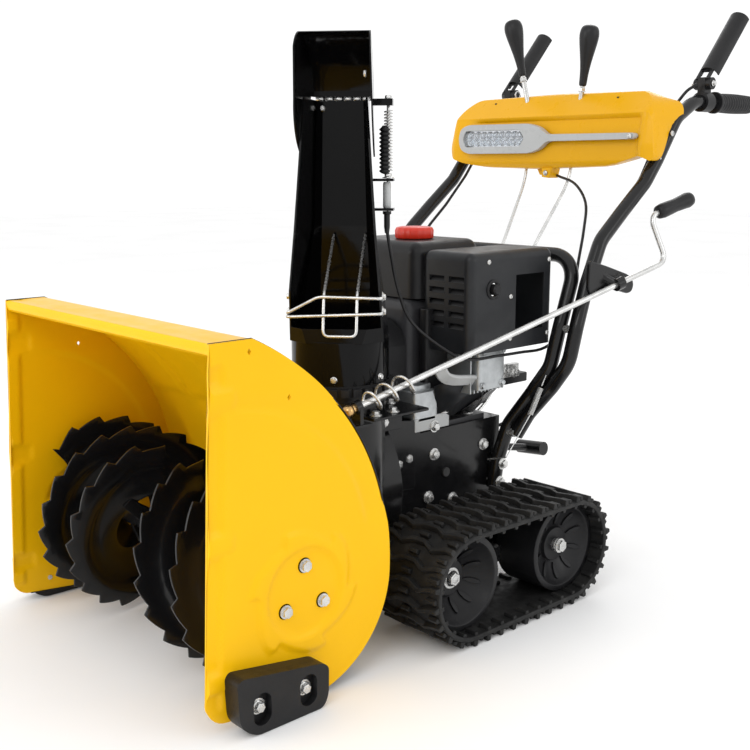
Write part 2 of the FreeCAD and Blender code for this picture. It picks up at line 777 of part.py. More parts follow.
def track_belt(name, side):
    """Rubber belt round both wheels with a cross lug at every pitch."""
    inner, width = size("belt_inner"), size("belt_width")
    radius, thick = size("belt_radius"), size("belt_thick")
    line = [(size("idler_y"), size("axle_z"), radius - thick),
            (size("axle_y"), size("axle_z"), radius - thick)]
    belt = plane_loop(line, width, thick)
    belt.translate(Vector(inner, 0, 0))
    length = 2 * (size("axle_y") - size("idler_y")) + 2 * math.pi * radius
    count = int(size("lug_count"))
    lugs = []
    for number in range(count):
        y, z, heading = belt_spot(length * number / count)
        lug = Part.makeBox(width, 12, size("lug_height") + 3, Vector(inner, -6, -3))
        lug.Placement = Placement(Vector(0, y, z), Rotation(Vector(1, 0, 0), heading - 90))
        lugs.append(lug)
    belt = belt.multiFuse(lugs).removeSplitter()
    if side < 0:
        belt = belt.mirror(Vector(0, 0, 0), Vector(1, 0, 0))
    return node(shape_part(name.title().replace("_", ""), belt), name)


# ---------------------------------------------------------------- auger and impeller


def ribbon(inner, outer, thick, low, high, start, sweep, teeth, dish):
    """Helical ribbon about Z between two heights, with a saw-tooth outer edge, made of flat facets."""
    steps = teeth * 3
    rings = []
    for step in range(steps + 1):
        share = step / steps
        turn = math.radians(start + sweep * share)
        height = low + (high - low) * share
        reach = outer - (11.0 * (step % 3) / 3)
        rings.append([
            Vector(inner * math.cos(turn), inner * math.sin(turn), height - thick / 2 + dish),
            Vector(reach * math.cos(turn), reach * math.sin(turn), height - thick / 2 - dish),
            Vector(reach * math.cos(turn), reach * math.sin(turn), height + thick / 2 - dish),
            Vector(inner * math.cos(turn), inner * math.sin(turn), height + thick / 2 + dish),
        ])
    faces = []

    def facet(*corners):
        faces.append(Part.Face(Part.makePolygon([*corners, corners[0]])))

    for near, far in zip(rings, rings[1:]):
        for side in range(4):
            other = (side + 1) % 4
            facet(near[side], near[other], far[other])
            facet(near[side], far[other], far[side])
    for end in (rings[0], rings[-1]):
        facet(end[0], end[1], end[2])
        facet(end[0], end[2], end[3])
    return Part.Solid(Part.Shell(faces))


def auger(name, side):
    """One half of the auger: a tube on the shaft carrying two serrated ribbons on spokes."""
    radius = size("auger_radius")
    low, high = 46.0, 272.0
    bore = size("auger_shaft_radius")
    core = Part.makeCylinder(18, high - low - 6, Vector(0, 0, low)).cut(
        Part.makeCylinder(bore, high, Vector(0, 0, 0)))
    whole = core
    for start in (0, 180):
        whole = whole.fuse(ribbon(58, radius, 4, low + 14, high - 12, start, side * 400, 24, 5))
        for share in (0.12, 0.5, 0.88):
            turn = math.radians(start + side * 400 * share)
            height = low + 14 + (high - low - 26) * share
            spoke = Part.makeBox(72, 22, 6, Vector(0, -11, -3))
            spoke.Placement = Placement(Vector(0, 0, height + 3), Rotation(math.degrees(turn), 0, 0))
            whole = whole.fuse(spoke.cut(Part.makeCylinder(16, 20, Vector(0, 0, -10))))
    if side < 0:
        whole = whole.mirror(Vector(0, 0, 0), Vector(0, 0, 1))
    whole = whole.cut(Part.makeCylinder(bore, 600, Vector(0, 0, -300)))
    return node(shape_part(name.title().replace("_", ""), whole), name, y=size("auger_y"),
                z=size("auger_z"), turn=Rotation(Vector(0, 1, 0), 90))


def auger_shaft():
    """Cross shaft with the worm wheel, drawn at its pitch cylinder, in the gearbox."""
    reach = size("clearing_half") + size("plate_thick") - 1
    made = turned("AugerShaft", (0, -reach), (size("auger_shaft_radius"), -reach),
                  (size("auger_shaft_radius"), -9), (28, -9), (28, 9), (size("auger_shaft_radius"), 9),
                  (size("auger_shaft_radius"), reach), (0, reach))
    return node(made, "auger_shaft", y=size("auger_y"), z=size("auger_z"),
                turn=Rotation(Vector(0, 1, 0), 90))


def auger_gearbox():
    """Cast case round the worm wheel, with necks for both shafts."""
    across = "Size.auger_shaft_radius + Size.running_gap"
    along = "Size.impeller_shaft_radius + Size.running_gap"
    rise = size("drum_z") - size("auger_z")
    case = join(
        "GearCaseOuter",
        cylinder("GearCase", (-26, 0, 0), (1, 0, 0), 52, 44),
        cylinder("CaseNeck", (-42, 0, 0), (1, 0, 0), 84, 19),
        cylinder("CaseTail", (0, -44, rise), (0, 1, 0), 140, 24),
    )
    inside = join(
        "CaseInside",
        cylinder("CaseRoom", (-14, 0, 0), (1, 0, 0), 28, 34),
        cylinder("CaseBore", (-60, 0, 0), (1, 0, 0), 120, across),
        cylinder("WormRoom", (0, -38, rise), (0, 1, 0), 102, 14.5),
        cylinder("WormBore", (0, 50, rise), (0, 1, 0), 60, along),
    )
    return node(cut("AugerGearbox", case, inside), "auger_gearbox", y=size("auger_y"), z=size("auger_z"))


def impeller():
    """Fan of four paddles on its long shaft, with the worm in front and the pulley behind."""
    radius, back = size("impeller_radius"), size("drum_back")
    shaft = size("impeller_shaft_radius")
    paddles = []
    for quarter in range(4):
        paddle = Part.makeBox(radius - 30, 4, 70, Vector(26, -2, 0))
        tip = Part.makeBox(16, 22, 70, Vector(radius - 22, 0, 0))
        trim = Part.makeCylinder(radius, 70)
        blade = paddle.fuse(tip).common(trim)
        blade.rotate(Vector(0, 0, 0), Vector(0, 0, 1), 90 * quarter)
        paddles.append(blade)
    disc = Part.makeCylinder(60, 4, Vector(0, 0, 66))
    hub = Part.makeCylinder(28, 70)
    fan = hub.multiFuse([disc] + paddles).cut(Part.makeCylinder(shaft, 80))
    return node(shape_part("Impeller", fan), "impeller", y=back - 95, z=size("drum_z"),
                turn=Rotation(Vector(1, 0, 0), -90))


def impeller_shaft():
    """Fore and aft shaft: worm at its pitch cylinder in front, belt pulley and sleeve at the back."""
    shaft = size("impeller_shaft_radius")
    worm = size("drum_z") - size("auger_z") - 28 - size("moving_gap")
    start = size("auger_y") - 32
    low = PULLEY_Y - start
    sleeve = shaft + 6 - 2 * size("running_gap")
    made = turned("ImpellerShaft", (0, 0), (worm, 0), (worm, 64), (shaft, 66), (shaft, low), (90, low),
                  (90, low + 2), (82, low + 5), (82, low + 11), (90, low + 14), (90, low + 15),
                  (sleeve, low + 15), (sleeve, low + 48), (0, low + 48))
    return node(made, "impeller_shaft", y=start, z=size("drum_z"), turn=Rotation(Vector(1, 0, 0), -90))


# ---------------------------------------------------------------- discharge chute


HINGE_Z = 814.0
HINGE_BACK = 58.5
ROD_X, ROD_Y = 72.0, 10.0
ROD_TABS = (646.0, 690.0)


def chute_place(thing, name):
    """Chute parts are drawn facing straight ahead about the swivel axis, then swung to one side."""
    return node(thing, name, x=size("chute_x"), y=size("chute_y"),
                turn=Rotation(Vector(0, 0, 1), size("chute_yaw")))


def chute_base():
    """Turning ring on the collar with its notched gear edge."""
    collar = size("collar_radius")
    low = size("collar_top") - 9.5
    inner = collar + size("moving_gap")
    made = turned("ChuteBase", (inner, low), (inner + 5.5, low), (inner + 5.5, low + 11),
                  (collar + 19.5, low + 11), (collar + 19.5, low + 23), (inner + 5.5, low + 23),
                  (inner + 5.5, 388), (inner, 388))
    notch = sketch(made, "XY_Plane", low + 30)
    rectangle(notch, collar + 12, -3, collar + 24, 3)
    gap = pocket(made, notch, 25)
    polar(made, gap, notch, 30)
    return chute_place(made, "chute_base")


def chute_section(z, wide, narrow, front, back, front_chamfer, back_chamfer):
    """Eight cornered section at a height: open side towards -Y, side walls closer at the back."""
    corners = [
        (-wide, -front + front_chamfer), (-wide + front_chamfer, -front),
        (wide - front_chamfer, -front), (wide, -front + front_chamfer),
        (narrow, back - back_chamfer), (narrow - back_chamfer, back),
        (-narrow + back_chamfer, back), (-narrow, back - back_chamfer),
    ]
    return Part.makePolygon([Vector(x, y, z) for x, y in corners + corners[:1]])


def chute_loft(inset):
    """Tapering body from the round foot to the hinge line."""
    levels = [(452, 72, 72, 70, 70, 30, 30), (530, 69, 62, 62, 68, 3, 20),
              (620, 61.5, 48, 54, 60, 3, 10), (HINGE_Z - 3, 48, 42, 38, 56, 3, 8)]
    wires = [chute_section(z, wide - inset, narrow - inset, front - inset, back - inset, *chamfers)
             for z, wide, narrow, front, back, *chamfers in levels]
    return Part.makeLoft(wires, True, True)


def chute_body():
    """Chute: round foot, channel open at the front, and two tabs that hold the deflector's rod."""
    thick = size("sheet_thick")
    outer = chute_loft(0).fuse(Part.makeCylinder(76, 66, Vector(0, 0, 388)))
    inner = chute_loft(thick)
    mouth = inner.common(Part.makeBox(200, 200, 400, Vector(-100, -100, 474)))
    mouth.translate(Vector(0, -12, 0))
    whole = outer.cut(inner).cut(Part.makeCylinder(73, 66, Vector(0, 0, 387))).cut(mouth)
    for z in ROD_TABS:
        tab = Part.makeBox(34, 24, 4, Vector(ROD_X - 23.5, ROD_Y - 12, z))
        hole = Part.makeCylinder(5, 20, Vector(ROD_X, ROD_Y, z - 8))
        whole = whole.fuse(tab.cut(hole).cut(inner))
    return chute_place(shape_part("ChuteBody", whole), "chute_body")


def hood_block(name, inset):
    """Block that gives the hood's width: closer at the back, and closer at the top."""
    wires = []
    for z, narrow, wide in ((HINGE_Z - 120, 51, 62), (HINGE_Z + 120, 45, 55)):
        corners = [(inset - narrow, 60), (narrow - inset, 60), (wide - inset, -72), (inset - wide, -72)]
        wires.append(Part.makePolygon([Vector(x, y, z) for x, y in corners + corners[:1]]))
    return shape_part(name, Part.makeLoft(wires, True, True))


def chute_deflector():
    """Hood outside the chute's upper end, on the hinge at its back, with the rod's bracket."""
    side = prism("HoodSide", "YZ_Plane", -90, 90, (60, HINGE_Z + 3), (60, HINGE_Z + 12),
                 ((30, HINGE_Z + 60), (-28, HINGE_Z + 91)), ((-52, HINGE_Z + 84), (-66, HINGE_Z + 66)),
                 (-60, HINGE_Z - 6), ((-42, HINGE_Z - 62), (-6, HINGE_Z - 88)),
                 ((6, HINGE_Z - 70), (8, HINGE_Z - 40)), (40, HINGE_Z + 3))
    under = prism("HoodUnder", "YZ_Plane", -90, 90, (57.5, HINGE_Z - 130), (57.5, HINGE_Z + 12),
                  ((28, HINGE_Z + 58), (-29, HINGE_Z + 88.5)), (-90, HINGE_Z + 88.5), (-90, HINGE_Z - 130))
    outer = common("HoodOuter", side, hood_block("HoodBlock", 0))
    hood = cut("DeflectorHood", outer, common("HoodRoom", under, hood_block("HoodGap", 2.5)))
    bracket = block("RodBracket", (49, ROD_Y - 9, HINGE_Z - 13), (ROD_X + 9, ROD_Y + 9, HINGE_Z - 3))
    barrel = cylinder("HingeBarrel", (-43, HINGE_BACK, HINGE_Z), (1, 0, 0), 86, 3.2)
    return chute_place(join("ChuteDeflector", hood, bracket, barrel), "chute_deflector")


def wire_guard():
    """Round wire guard over the chute's lower mouth: a hairpin and a cross loop welded together."""
    wire = size("wire_radius")
    hairpin = tube([(-16, 52, 606), (-16, -60, 524), (-16, -74, 464), (34, -74, 464), (34, -60, 524),
                    (34, 52, 606)], wire, 10)
    upper = tube([(71, -46, 520), (71, -64, 520), (-24, -64, 522), (-71.5, -66, 497), (-71.5, -40, 497)],
                 wire, 8)
    lower = tube([(71.5, -46, 498), (71.5, -69, 498), (-71.5, -69, 492), (-71.5, -40, 492)], wire, 8)
    return chute_place(shape_part("WireGuard", hairpin.fuse(upper).fuse(lower)), "wire_guard")


def deflector_rod():
    """Pull rod of the deflector with its return spring, drawn as the spring's outer sleeve."""
    top = HINGE_Z - 14
    rod = turned("DeflectorPull", (0, 640), (3, 640), (3, 696), (8, 696), (8, 700), (11, 702), (11, 770),
                 (8, 773), (8, 796), (3, 796), (3, top), (0, top))
    collar = cylinder("RodCollar", (0, 0, 630), (0, 0, 1), 12, 4.5)
    whole = join("PullWhole", rod, collar)
    whole.Placement.Base = Vector(ROD_X, ROD_Y, 0)
    return chute_place(group("DeflectorRod", whole), "deflector_rod")


def chute_point(x, y, z):
    """Machine position of a point given in the chute's own frame."""
    yaw = math.radians(size("chute_yaw"))
    return Vector(size("chute_x") + x * math.cos(yaw) - y * math.sin(yaw),
                  size("chute_y") + x * math.sin(yaw) + y * math.cos(yaw), z)


def deflector_cable():
    """Cable from the rod's foot, under the heater cover and up the handles to the console's lever."""
    foot = chute_point(ROD_X, ROD_Y, 628)
    route = [foot, foot + Vector(2, 6, -46), foot + Vector(6, 18, -104), foot + Vector(14, 42, -158),
             (178, 520, 422), (182, 568, 404), (182, 632, 402), (182, 692, 401), (183, 756, 402),
             (188, 800, 430), (190, 822, 488), (188, 836, 545), (172, 870, 600), (140, 915, 645),
             (88, 950, 678), (20, 985, 692), (-35, 1003, 706), (-57, 1012, 735), (-59, 1010, 768)]
    return node(shape_part("DeflectorCable", tube(route, size("cable_radius"), 90)), "deflector_cable")


# ---------------------------------------------------------------- chute crank


CRANK_FOOT = (190.0, 304.0, 362.0)
CRANK_CORNER = (281.0, 967.0, 545.0)
CRANK_END = (255.4, 948.6, 624.4)
CRANK_GRIP = (270.0, 1050.0, 652.0)


def crank_point(y):
    """Point on the crank's straight line at a distance from the housing's front edge."""
    share = (y - CRANK_FOOT[1]) / (CRANK_CORNER[1] - CRANK_FOOT[1])
    return tuple(a + share * (b - a) for a, b in zip(CRANK_FOOT, CRANK_CORNER))


def crank_rod():
    """Bent rod from the gear ring to the operator, with the wire worm at its lower end."""
    rod = tube([CRANK_FOOT, CRANK_CORNER, CRANK_END, CRANK_GRIP], size("rod_radius"), 18)
    axis = Vector(*CRANK_CORNER) - Vector(*CRANK_FOOT)
    coil = worm_coil(14.0, 30.0, 3, 2.4)
    coil.Placement = Placement(Vector(*crank_point(332)), Rotation(Vector(0, 0, 1), axis))
    ball = Part.makeSphere(9.5, Vector(*crank_point(302)))
    return node(shape_part("CrankRod", rod.multiFuse([coil, ball])), "crank_rod")


def worm_coil(radius, pitch, turns, wire):
    """Open coil about Z: rounded chords from turn to turn, its ends run into the rod."""
    points = [(0, 0, -4)]
    per_turn = 10
    for step in range(turns * per_turn + 1):
        turn = 2 * math.pi * step / per_turn
        points.append((radius * math.cos(turn), radius * math.sin(turn), pitch * step / per_turn))
    points.append((0, 0, pitch * turns + 4))
    return tube(points, wire, 7)


def crank_knob():
    """Grip that turns freely on the crank's end."""
    start, end = Vector(*CRANK_END), Vector(*CRANK_GRIP)
    axis = (end - start).normalize()
    length = (end - start).Length
    bore = size("rod_radius") + size("running_gap")
    made = turned("CrankKnob", (bore, 22), (11, 22), (13, 30), (12, 60), (14, length - 12), (12, length - 3),
                  (8, length + 3), (0, length + 3), (0, length + size("running_gap")),
                  (bore, length + size("running_gap")))
    spot = start
    return node(made, "crank_knob", spot.x, spot.y, spot.z, Rotation(Vector(0, 0, 1), axis))


def crank_eye(y, outer, length):
    """Ring round the crank's straight part: its centre, its solid and the hole through it."""
    axis = (Vector(*CRANK_CORNER) - Vector(*CRANK_FOOT)).normalize()
    spot = Vector(*crank_point(y))
    solid = Part.makeCylinder(outer, length, spot - axis * (length / 2), axis)
    bore = size("rod_radius") + size("running_gap")
    hole = Part.makeCylinder(bore, length + 40, spot - axis * (length / 2 + 20), axis)
    return spot, solid, hole


def crank_brackets():
    """Arm on the left handle that guides the crank, and the front bearing beside the gear ring."""
    spot, ring, hole = crank_eye(850, 11, 16)
    arm = tube([(238, 812, 540), (250, 828, 524), tuple(spot - Vector(5, 4, 0))], 8, 20)
    guide = ring.fuse(arm).cut(hole).cut(left_handle_tube())
    spot, ring, hole = crank_eye(316, 10, 10)
    shelf = Part.makeBox(spot.x + 12 - 120, 40, 4, Vector(120, spot.y - 20, 336))
    post = Part.makeBox(20, 6, spot.z - 338, Vector(spot.x - 10, spot.y - 3, 338))
    collar = Part.makeCylinder(size("collar_radius"), 100, Vector(size("chute_x"), size("chute_y"), 300))
    foot = ring.multiFuse([shelf, post]).cut(hole).cut(collar)
    return node(shape_part("CrankBrackets", Part.makeCompound([guide, foot])), "crank_brackets")


# ---------------------------------------------------------------- engine


def rounded_block(name, low, high, radius):
    """Block with its upright and top edges rounded."""
    made = new_body(name)
    drawn = rectangle(sketch(made, "XY_Plane", low[2]), low[0], low[1], high[0], high[1])
    pad(made, drawn, high[2] - low[2])
    round_edges(made, lambda edge: edge.BoundBox.ZMax > low[2] + 1, radius)
    return made


def engine_block():
    """Crankcase with mounting feet and the bore for the crankshaft."""
    crank = size("crank_z")
    body = rounded_block("Crankcase", (-92, 528, ENGINE_DECK + 8), (76, 688, 492), 16)
    feet = block("EngineFeet", (-104, 536, ENGINE_DECK), (104, 690, ENGINE_DECK + 8))
    whole = join("EngineWhole", body, feet)
    bore = cylinder("CrankBore", (0, 500, crank), (0, 1, 0), 200, "Size.crank_radius + Size.running_gap")
    drills = group("FootDrills", *[
        cylinder(f"FootDrill{number}", (x, y, ENGINE_DECK - 4), (0, 0, 1), 30, 4.2)
        for number, (x, y) in enumerate(ENGINE_FEET)])
    spaces = group("BoltSpaces", *[
        cylinder(f"BoltSpace{number}", (x, y, ENGINE_DECK + 8), (0, 0, 1), 12, 11)
        for number, (x, y) in enumerate(ENGINE_FEET)])
    bored = cut("EngineBored", whole, bore)
    drilled = cut("EngineDrilled", bored, drills)
    return node(cut("EngineBlock", drilled, spaces), "engine_block")


def cylinder_head():
    """Finned barrel and head, lying towards the left under the heater cover."""
    fins = [block(f"Fin{number}", (77, 594 + 9 * number, 338), (158, 597 + 9 * number, 420))
            for number in range(10)]
    core = block("HeadCore", (76, 594, 346), (150, 678, 412))
    cover = rounded_block("RockerCover", (150, 602, 342), (172, 670, 416), 6)
    return node(join("CylinderHead", core, cover, *fins), "cylinder_head")


def recoil_housing():
    """Blower and recoil starter cover behind the engine, with vents in its face."""
    made = turned("RecoilHousing", (84, 0), (94, 0), (94, 46), (86, 62), (60, 84), (0, 84), (0, 80),
                  (58, 80), (84, 60))
    vents = sketch(made, "XY_Plane")
    outline(vents, (28, -4), (48, -6), (48, 6), (28, 4))
    opening = pocket(made, vents, 200, reverse=True)
    polar(made, opening, vents, 10)
    return node(made, "recoil_housing", y=690.5, z=size("crank_z"), turn=Rotation(Vector(1, 0, 0), -90))


def recoil_handle():
    """Pull handle of the recoil starter on its guide."""
    made = turned("RecoilHandle", (0, 0), (6, 0), (9, 6), (9, 16), (14, 20), (14, 30), (0, 32))
    return node(made, "recoil_handle", x=-62, y=775.5, z=size("crank_z"),
                turn=Rotation(Vector(1, 0, 0), -90))


def fuel_tank():
    """Tank on top of the engine with its filler neck."""
    tank = rounded_block("TankBody", (-122, 545, 494), (78, 705, 588), 20)
    neck = cylinder("TankNeck", (0, 617, 580), (0, 0, 1), 13, 20)
    return node(join("FuelTank", tank, neck), "fuel_tank")


def fuel_cap():
    """Ribbed screw cap over the filler neck."""
    made = turned("FuelCap", (20.5, 0.5), (33, 0.5), (34, 3), (34, 14), (31, 18), (0, 18), (0, 6),
                  (20.5, 6))
    rib = sketch(made, "XY_Plane")
    circle(rib, 35.4, 0, 3)
    notch = pocket(made, rib, 40, reverse=True)
    polar(made, notch, rib, 16)
    return node(made, "fuel_cap", y=617, z=588)


def heater_cover():
    """Louvred cover over the carburettor side, open below and towards the engine."""
    shell = rounded_block("HeaterOuter", (80, 557, 412), (190, 766, 576), 14)
    room = rounded_block("HeaterRoom", (40, 560, 380), (187, 763, 573), 11)
    louvres = [block(f"Louvre{row}{column}", (98 + 44 * column, 550, 452 + 19 * row),
                     (132 + 44 * column, 562, 461 + 19 * row))
               for row in range(5) for column in range(2)]
    choke_hole = cylinder("ChokeHole", (180, 612, 515), (1, 0, 0), 20, 11)
    window = block("HeaterWindow", (180, 668, 440), (200, 740, 535))
    starter = cylinder("StarterWay", (0, 700, size("crank_z")), (0, 1, 0), 100, 97)
    openings = group("HeaterOpenings", choke_hole, window, starter, *louvres)
    return node(cut("HeaterCover", cut("HeaterShell", shell, room), openings), "heater_cover")


def choke_knob():
    """Push and pull choke knob in the cover's round hole."""
    made = turned("ChokeKnob", (0, -30), (4, -30), (4, -4), (9, -2), (9, 8), (7, 11), (0, 11))
    return node(made, "choke_knob", x=190, y=612, z=515, turn=Rotation(Vector(0, 1, 0), 90))


def muffler():
    """Round ended silencer on the right with its outlet pipe and heat shield slots."""
    made = rounded_block("MufflerBody", (-186, 560, 410), (-96, 690, 486), 22)
    pipe = cylinder("MufflerPipe", (-150, 600, 420), (0, 0, -1), 40, 13)
    flange = block("MufflerFlange", (-97, 600, 430), (-92, 640, 470))
    return node(join("Muffler", made, pipe, flange), "muffler")


# ---------------------------------------------------------------- handles and console


LOWER_LEG = [(126, 694, 150), (126, 704, 200), (134, 722, 262), (166, 742, 318), (200, 752, 372),
             (208, 764, 440), (209, 806, 559)]
UPPER_TUBE = [(152, 722, 246), (168, 736, 285), (205, 752, 336), (236, 756, 381), (240, 768, 440),
              (238, 795, 512), (235, 834, 585), (235, 894, 633), (235, 958, 682), (235, 992, 722),
              (235, 1046, 796), (235, 1104, 827), (235, 1296, 827)]


def left_handle_tube():
    return tube(UPPER_TUBE, size("tube_radius"), 60)


def lower_handle():
    """Arch of one bent tube from side to side, bolted to the chassis."""
    right = [(-x, y, z) for x, y, z in reversed(LOWER_LEG)]
    arch = tube(LOWER_LEG + right, size("tube_radius"), 50)
    for y, z in LEG_BOLTS:
        arch = arch.cut(Part.makeCylinder(4.2, 400, Vector(-200, y, z), Vector(1, 0, 0)))
    return node(shape_part("LowerHandle", arch), "lower_handle")


def upper_handles():
    """The two long bent tubes that carry the console and the grips."""
    left = shape_part("UpperHandleLeft", left_handle_tube())
    right = shape_part("UpperHandleRight", tube(mirror_points(UPPER_TUBE), size("tube_radius"), 60))
    return [node(left, "upper_handle_left"), node(right, "upper_handle_right")]


def console_solid(name, inset, deep):
    """Console's outer form, or its inside when inset: side profile crossed with front profile."""
    half = size("console_half") - inset
    side = prism(name + "Side", "YZ_Plane", -half, half,
                 (955 + inset, 700 - deep), (957 + inset, 824 - inset),
                 ((962 + inset, 838 - inset), (978 + inset, 841 - inset)),
                 (1042 - inset / 2, 834 - inset), ((1056 - inset, 826 - inset), (1062 - inset + deep, 806)),
                 (1054 - inset + deep, 786 - deep), (1012 - inset + deep, 742 - deep),
                 (980 + deep, 702 - deep))
    front = prism(name + "Front", "XZ_Plane", -1100 - deep, -900,
                  (-half, 724 - deep), (-208 + inset, 830 - inset), (-196 + inset, 850 - inset),
                  (196 - inset, 850 - inset), (208 - inset, 830 - inset), (half, 724 - deep),
                  (half, 704 - deep), (-half, 704 - deep))
    return common(name, side, front)


def console_shell():
    """Moulded console cover, open below and behind, with slots for both levers."""
    shell = cut("ConsoleHollow", console_solid("ConsoleOuter", 0.0, 0.0),
                console_solid("ConsoleInner", 2.5, 14.0))
    slots = group("LeverSlots", block("SlotRight", (-81, 966, 800), (-58, 1028, 870)),
                  block("SlotLeft", (50, 966, 800), (73, 1028, 870)))
    handles = group("HandleWay", *[
        shape_part(f"HandleWay{number}", tube(points, size("tube_radius") + 0.2, 60))
        for number, points in enumerate((UPPER_TUBE, mirror_points(UPPER_TUBE)))])
    slotted = cut("ConsoleSlotted", shell, slots)
    return node(cut("ConsoleShell", slotted, handles), "console_shell")


def lamp_housing():
    """Grey lamp surround on the console's face, drawn out to a thin bar on the left."""
    made = prism("LampHousing", "XZ_Plane", -955, -943,
                 (-198, 790), ((-219, 763), (-198, 736)), (-24, 736), (6, 740), (46, 757), (214, 757),
                 ((220, 763), (214, 769)), (46, 769), (6, 786), (-24, 790))
    room = outline(sketch(made, "XZ_Plane", -943), (-190, 776), ((-204, 763), (-190, 750)), (-46, 750),
                   (-36, 763), (-46, 776))
    pocket(made, room, 8)
    return node(made, "lamp_housing")


def lamp_lens():
    """Clear lens over the row of lights."""
    gap = 0.2
    made = prism("LampLens", "XZ_Plane", -950.8, -944.5, (-190, 776 - gap),
                 ((-204 + gap, 763), (-190, 750 + gap)), (-46, 750 + gap), (-36 - gap, 763),
                 (-46, 776 - gap))
    return node(made, "lamp_lens")


def hand_grips():
    """Ribbed rubber grips on the ends of both handle tubes."""
    profile = [(size("tube_radius"), 0), (19, 0), (19, 6), (16.5, 9)]
    profile += [(17.5, 60), (16.5, 118), (17, 126), (12, 129), (0, 129), (0, 126.2),
                (size("tube_radius"), 126.2)]
    left = turned("HandGrip", *profile)
    left.Placement = Placement(Vector(size("handle_half"), 1170, 827), Rotation(Vector(1, 0, 0), -90))
    return node(group("HandGrips", left, mirrored("HandGripRight", left)), "hand_grips")


def control_lever(name, foot, tip):
    """Bent flat-footed lever with a moulded knob, swinging fore and aft under the console."""
    start, end = Vector(*foot), Vector(*tip)
    axis = (end - start).normalize()
    stem = Part.makeCylinder(4.5, (end - start).Length - 40, start, axis)
    pivot = Part.makeCylinder(9, 12, start - Vector(6, 0, 0), Vector(1, 0, 0))
    knob = Part.makeCone(9, 15, 44, end - axis * 62, axis).fuse(
        Part.makeSphere(15.2, end - axis * 15))
    hole = Part.makeCylinder(4, 40, start - Vector(20, 0, 0), Vector(1, 0, 0))
    return node(shape_part(name.title().replace("_", ""), stem.multiFuse([pivot, knob]).cut(hole)), name)


def clutch_lever(name, side, raised):
    """Squeeze lever above a grip: a half round paddle on a pivot ear in front of the grip."""
    angle = math.radians(raised)
    reach = 165
    along = Vector(0, math.cos(angle), math.sin(angle))
    outer = Part.makeCylinder(19, reach - 22, along * 22, along)
    inner = Part.makeCylinder(16.6, reach, along * 20, along)
    below = Part.makeBox(60, reach + 40, 40, Vector(-30, -10, -40 - 2))
    below.rotate(Vector(0, 0, 0), Vector(1, 0, 0), raised)
    paddle = outer.cut(inner).cut(below)
    ear = Part.makeCylinder(11, 34, Vector(-17, 0, 0), Vector(1, 0, 0))
    neck = Part.makeBox(26, 34, 5, Vector(-13, 0, 9))
    neck.rotate(Vector(0, 0, 0), Vector(1, 0, 0), raised)
    slot = Part.makeBox(15.6, 40, 60, Vector(-7.8, -20, -30))
    slot.rotate(Vector(0, 0, 0), Vector(1, 0, 0), raised)
    bore = Part.makeCylinder(4 + size("running_gap"), 60, Vector(-30, 0, 0), Vector(1, 0, 0))
    whole = paddle.fuse(neck.fuse(ear).cut(slot)).cut(bore)
    return node(shape_part(name.title().replace("_", ""), whole), name,
                x=side * size("handle_half"), y=1136, z=LEVER_PIVOT_Z)


LEVER_PIVOT_Z = 860.0
LEVER_Y, LEVER_Z = 998.0, 790.0


def lever_mounts():
    """Clamp with a pin on each handle tube, and the cross rod of the console's two levers."""
    solids = []
    for side in (1, -1):
        x = side * size("handle_half")
        ring = Part.makeCylinder(18, 26, Vector(x, 1123, 827), Vector(0, 1, 0))
        post = Part.makeBox(15, 22, 44, Vector(x - 7.5, 1125, 827))
        pin = Part.makeCylinder(4, 36, Vector(x - 18, 1136, LEVER_PIVOT_Z), Vector(1, 0, 0))
        tube_way = Part.makeCylinder(size("tube_radius"), 60, Vector(x, 1100, 827), Vector(0, 1, 0))
        solids.append(ring.multiFuse([post, pin]).cut(tube_way))
    rod = Part.makeCylinder(3.95, 300, Vector(-150, LEVER_Y, LEVER_Z), Vector(1, 0, 0))
    hangers = [Part.makeBox(4, 18, 835.2 - LEVER_Z + 10, Vector(x, LEVER_Y - 9, LEVER_Z - 10))
               for x in (-150, 146)]
    solids.append(rod.multiFuse(hangers))
    return node(shape_part("LeverMounts", Part.makeCompound(solids)), "lever_mounts")


def control_cables():
    """Clutch cables from both levers down behind the handle tubes to the belt tensioners."""
    left = [(235, 1112, 858), (222, 1100, 848), (210, 1083, 822), (209, 1046, 784), (213, 1008, 736),
            (215, 974, 690), (215, 916, 632), (215, 866, 590), (216, 834, 540), (216, 812, 480),
            (214, 796, 420),
            (196, 786, 366), (160, 772, 316), (128, 756, 276), (100, 742, 252), (92, 724, 246)]
    radius = size("cable_radius")
    pair = [tube(left, radius, 80), tube(mirror_points(left), radius, 80)]
    return node(shape_part("ControlCables", Part.makeCompound(pair)), "control_cables")


def shift_rods():
    """Two rods from the console's levers down behind the engine to the drive."""
    rods = []
    for x, lean in ((-36, -22), (36, 16)):
        rods.append(tube([(x + lean, 986, 768), (x + lean, 984, 690), (x, 880, 540), (x, 802, 400),
                          (x, 790, 290), (x, 726, 250)], 3.2, 60))
    return node(shape_part("ShiftRods", Part.makeCompound(rods)), "shift_rods")


def tilt_pedal():
    """Foot lever behind the case with a rubber pad at its end, drawn about its pin."""
    arm = tube([(0, 0, 0), (0, 52, -10), (20, 132, -22)], 7, 40)
    sole = Part.makeCylinder(13, 60, Vector(-5, 133, -24), Vector(1, 0, 0.1))
    eye = Part.makeCylinder(12, 24, Vector(-12, 0, 0), Vector(1, 0, 0))
    hole = Part.makeCylinder(PEDAL_PIN + size("running_gap"), 60, Vector(-30, 0, 0), Vector(1, 0, 0))
    whole = arm.multiFuse([sole, eye]).cut(hole)
    return node(shape_part("TiltPedal", whole), "tilt_pedal", x=40, y=PEDAL_Y, z=PEDAL_Z)


# ---------------------------------------------------------------- build, check and write


